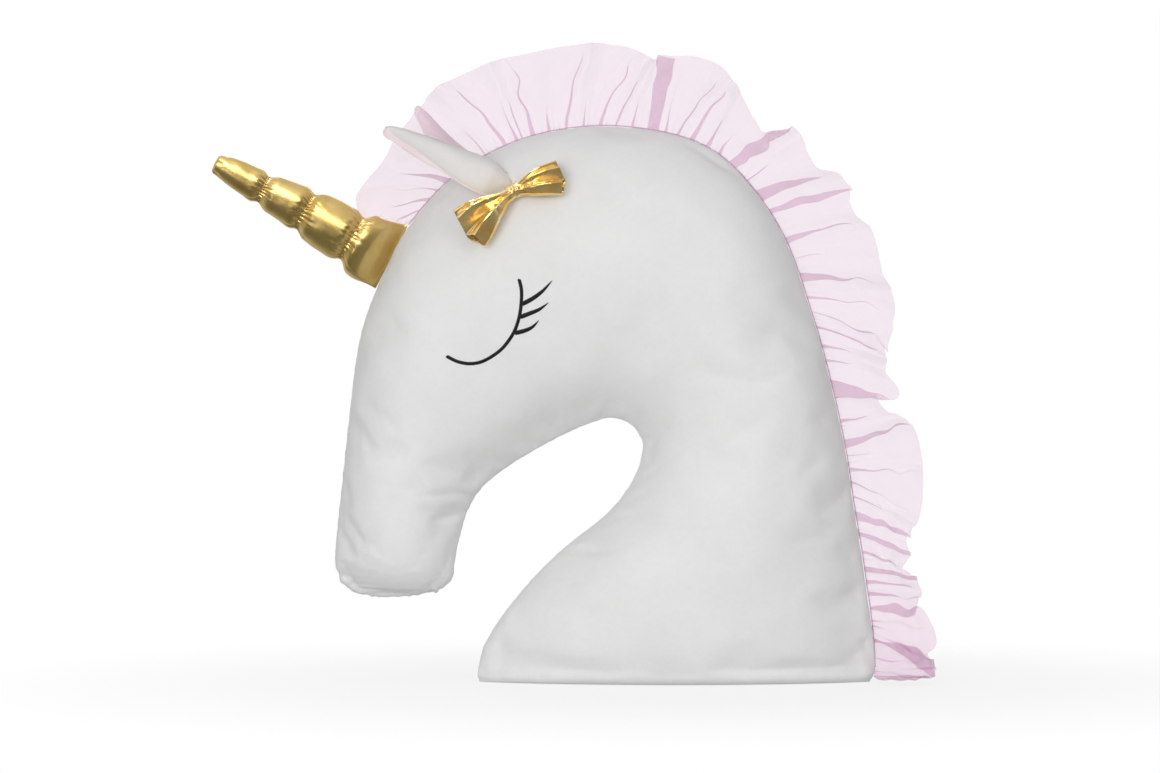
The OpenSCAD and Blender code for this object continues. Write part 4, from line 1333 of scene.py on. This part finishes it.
def floor():
    turn = np.linspace(0, 2 * np.pi, FLOOR_SIDES, endpoint=False)
    reach = FLOOR_RINGS[:, None]
    ground = np.stack([reach * np.cos(turn), reach * np.sin(turn), reach * 0 * turn], -1)
    p = Paint("floor_white", roughness=0.8, specular_ior_level=0.1)
    grain = p.noise(30, 3, 0.5)
    p.colour(p.ramp(grain, [(0.2, (0.87, 0.87, 0.87)), (0.8, (0.90, 0.90, 0.90))]))
    # The floor gives way to the white surroundings further out
    away = p.add("ShaderNodeVectorMath", operation="LENGTH")
    p.link(p.place, away.inputs[0])
    p.link(smooth_range(p.tree, away.outputs["Value"], 0.12, 0.6, 0.24, 0.0), p.shader.inputs["Alpha"])
    faces = grid_faces(len(FLOOR_RINGS), FLOOR_SIDES, wrap=True)
    obj = make_piece("floor", ground.reshape(-1, 3), faces, p.material)
    weld(obj)


def softbox(name, place, size, power, aim=(-0.05, 0, 0.22), on_cloth=True, on_metal=True):
    data = bpy.data.lights.new(name, "AREA")
    data.shape = "RECTANGLE"
    data.size, data.size_y = size
    data.energy = power
    obj = placed(name, data)
    obj.visible_diffuse, obj.visible_glossy = on_cloth, on_metal
    obj.location = place
    obj.rotation_euler = (Vector(aim) - Vector(place)).to_track_quat("-Z", "Y").to_euler()


ROOM_BRIGHT_WAY = (0.0, 0.8, 0.6)


def surroundings():
    """White for the camera, soft grey for cloth; metal mirrors a dark room with a white back wall."""
    world = bpy.data.worlds.new("studio")
    bpy.context.scene.world = world
    world.use_nodes = True
    tree = world.node_tree
    tree.nodes.clear()
    new, link = tree.nodes.new, tree.links.new
    seen, lit, mirrored = (new("ShaderNodeBackground") for _ in range(3))
    for light, strength in ((seen, 1.0), (lit, 0.42)):
        light.inputs["Color"].default_value = (1, 1, 1, 1)
        light.inputs["Strength"].default_value = strength
    facing = new("ShaderNodeVectorMath")
    facing.operation = "DOT_PRODUCT"
    facing.inputs[1].default_value = ROOM_BRIGHT_WAY
    link(new("ShaderNodeTexCoord").outputs["Generated"], facing.inputs[0])
    spread = smooth_range(tree, facing.outputs["Value"], -0.55, 0.5, 0.10, 0.9)
    link(spread, mirrored.inputs["Strength"])
    path = new("ShaderNodeLightPath")
    metal, whole = new("ShaderNodeMixShader"), new("ShaderNodeMixShader")
    for mix, ray, off, on in (
        (metal, "Is Glossy Ray", lit, mirrored), (whole, "Is Camera Ray", metal, seen),
    ):
        link(path.outputs[ray], mix.inputs[0])
        link(off.outputs[0], mix.inputs[1])
        link(on.outputs[0], mix.inputs[2])
    link(whole.outputs[0], new("ShaderNodeOutputWorld").inputs["Surface"])


floor()
surroundings()
softbox("key", (-0.9, -2.7, 0.55), (1.8, 1.5), 36, on_metal=False)
softbox("fill", (1.5, -2.3, 1.0), (1.4, 1.4), 13, on_metal=False)
softbox("strip", (-0.2, -1.65, 1.25), (1.3, 0.45), 11, on_cloth=False)
softbox("side", (-1.5, -1.7, 0.45), (0.5, 1.1), 3.5, on_cloth=False)
softbox("above", (-0.85, -1.25, 1.9), (1.1, 0.7), 20, on_cloth=False)
softbox("top", (-0.3, -0.3, 2.4), (1.2, 1.2), 2)
softbox("back", (-0.2, 2.6, 0.9), (2.0, 1.4), 15)

VIEW_DISTANCE, VIEW_WIDTH = 3.0, 0.87
camera_data = bpy.data.cameras.new("camera")
camera_data.sensor_width = 36
camera_data.lens = camera_data.sensor_width * VIEW_DISTANCE / VIEW_WIDTH
camera = placed("camera", camera_data)
camera.location = (-0.0728, -VIEW_DISTANCE, 0.2216)
camera.rotation_euler = (math.pi / 2, 0, 0)
bpy.context.scene.camera = camera
bpy.context.scene.view_settings.view_transform = "Standard"
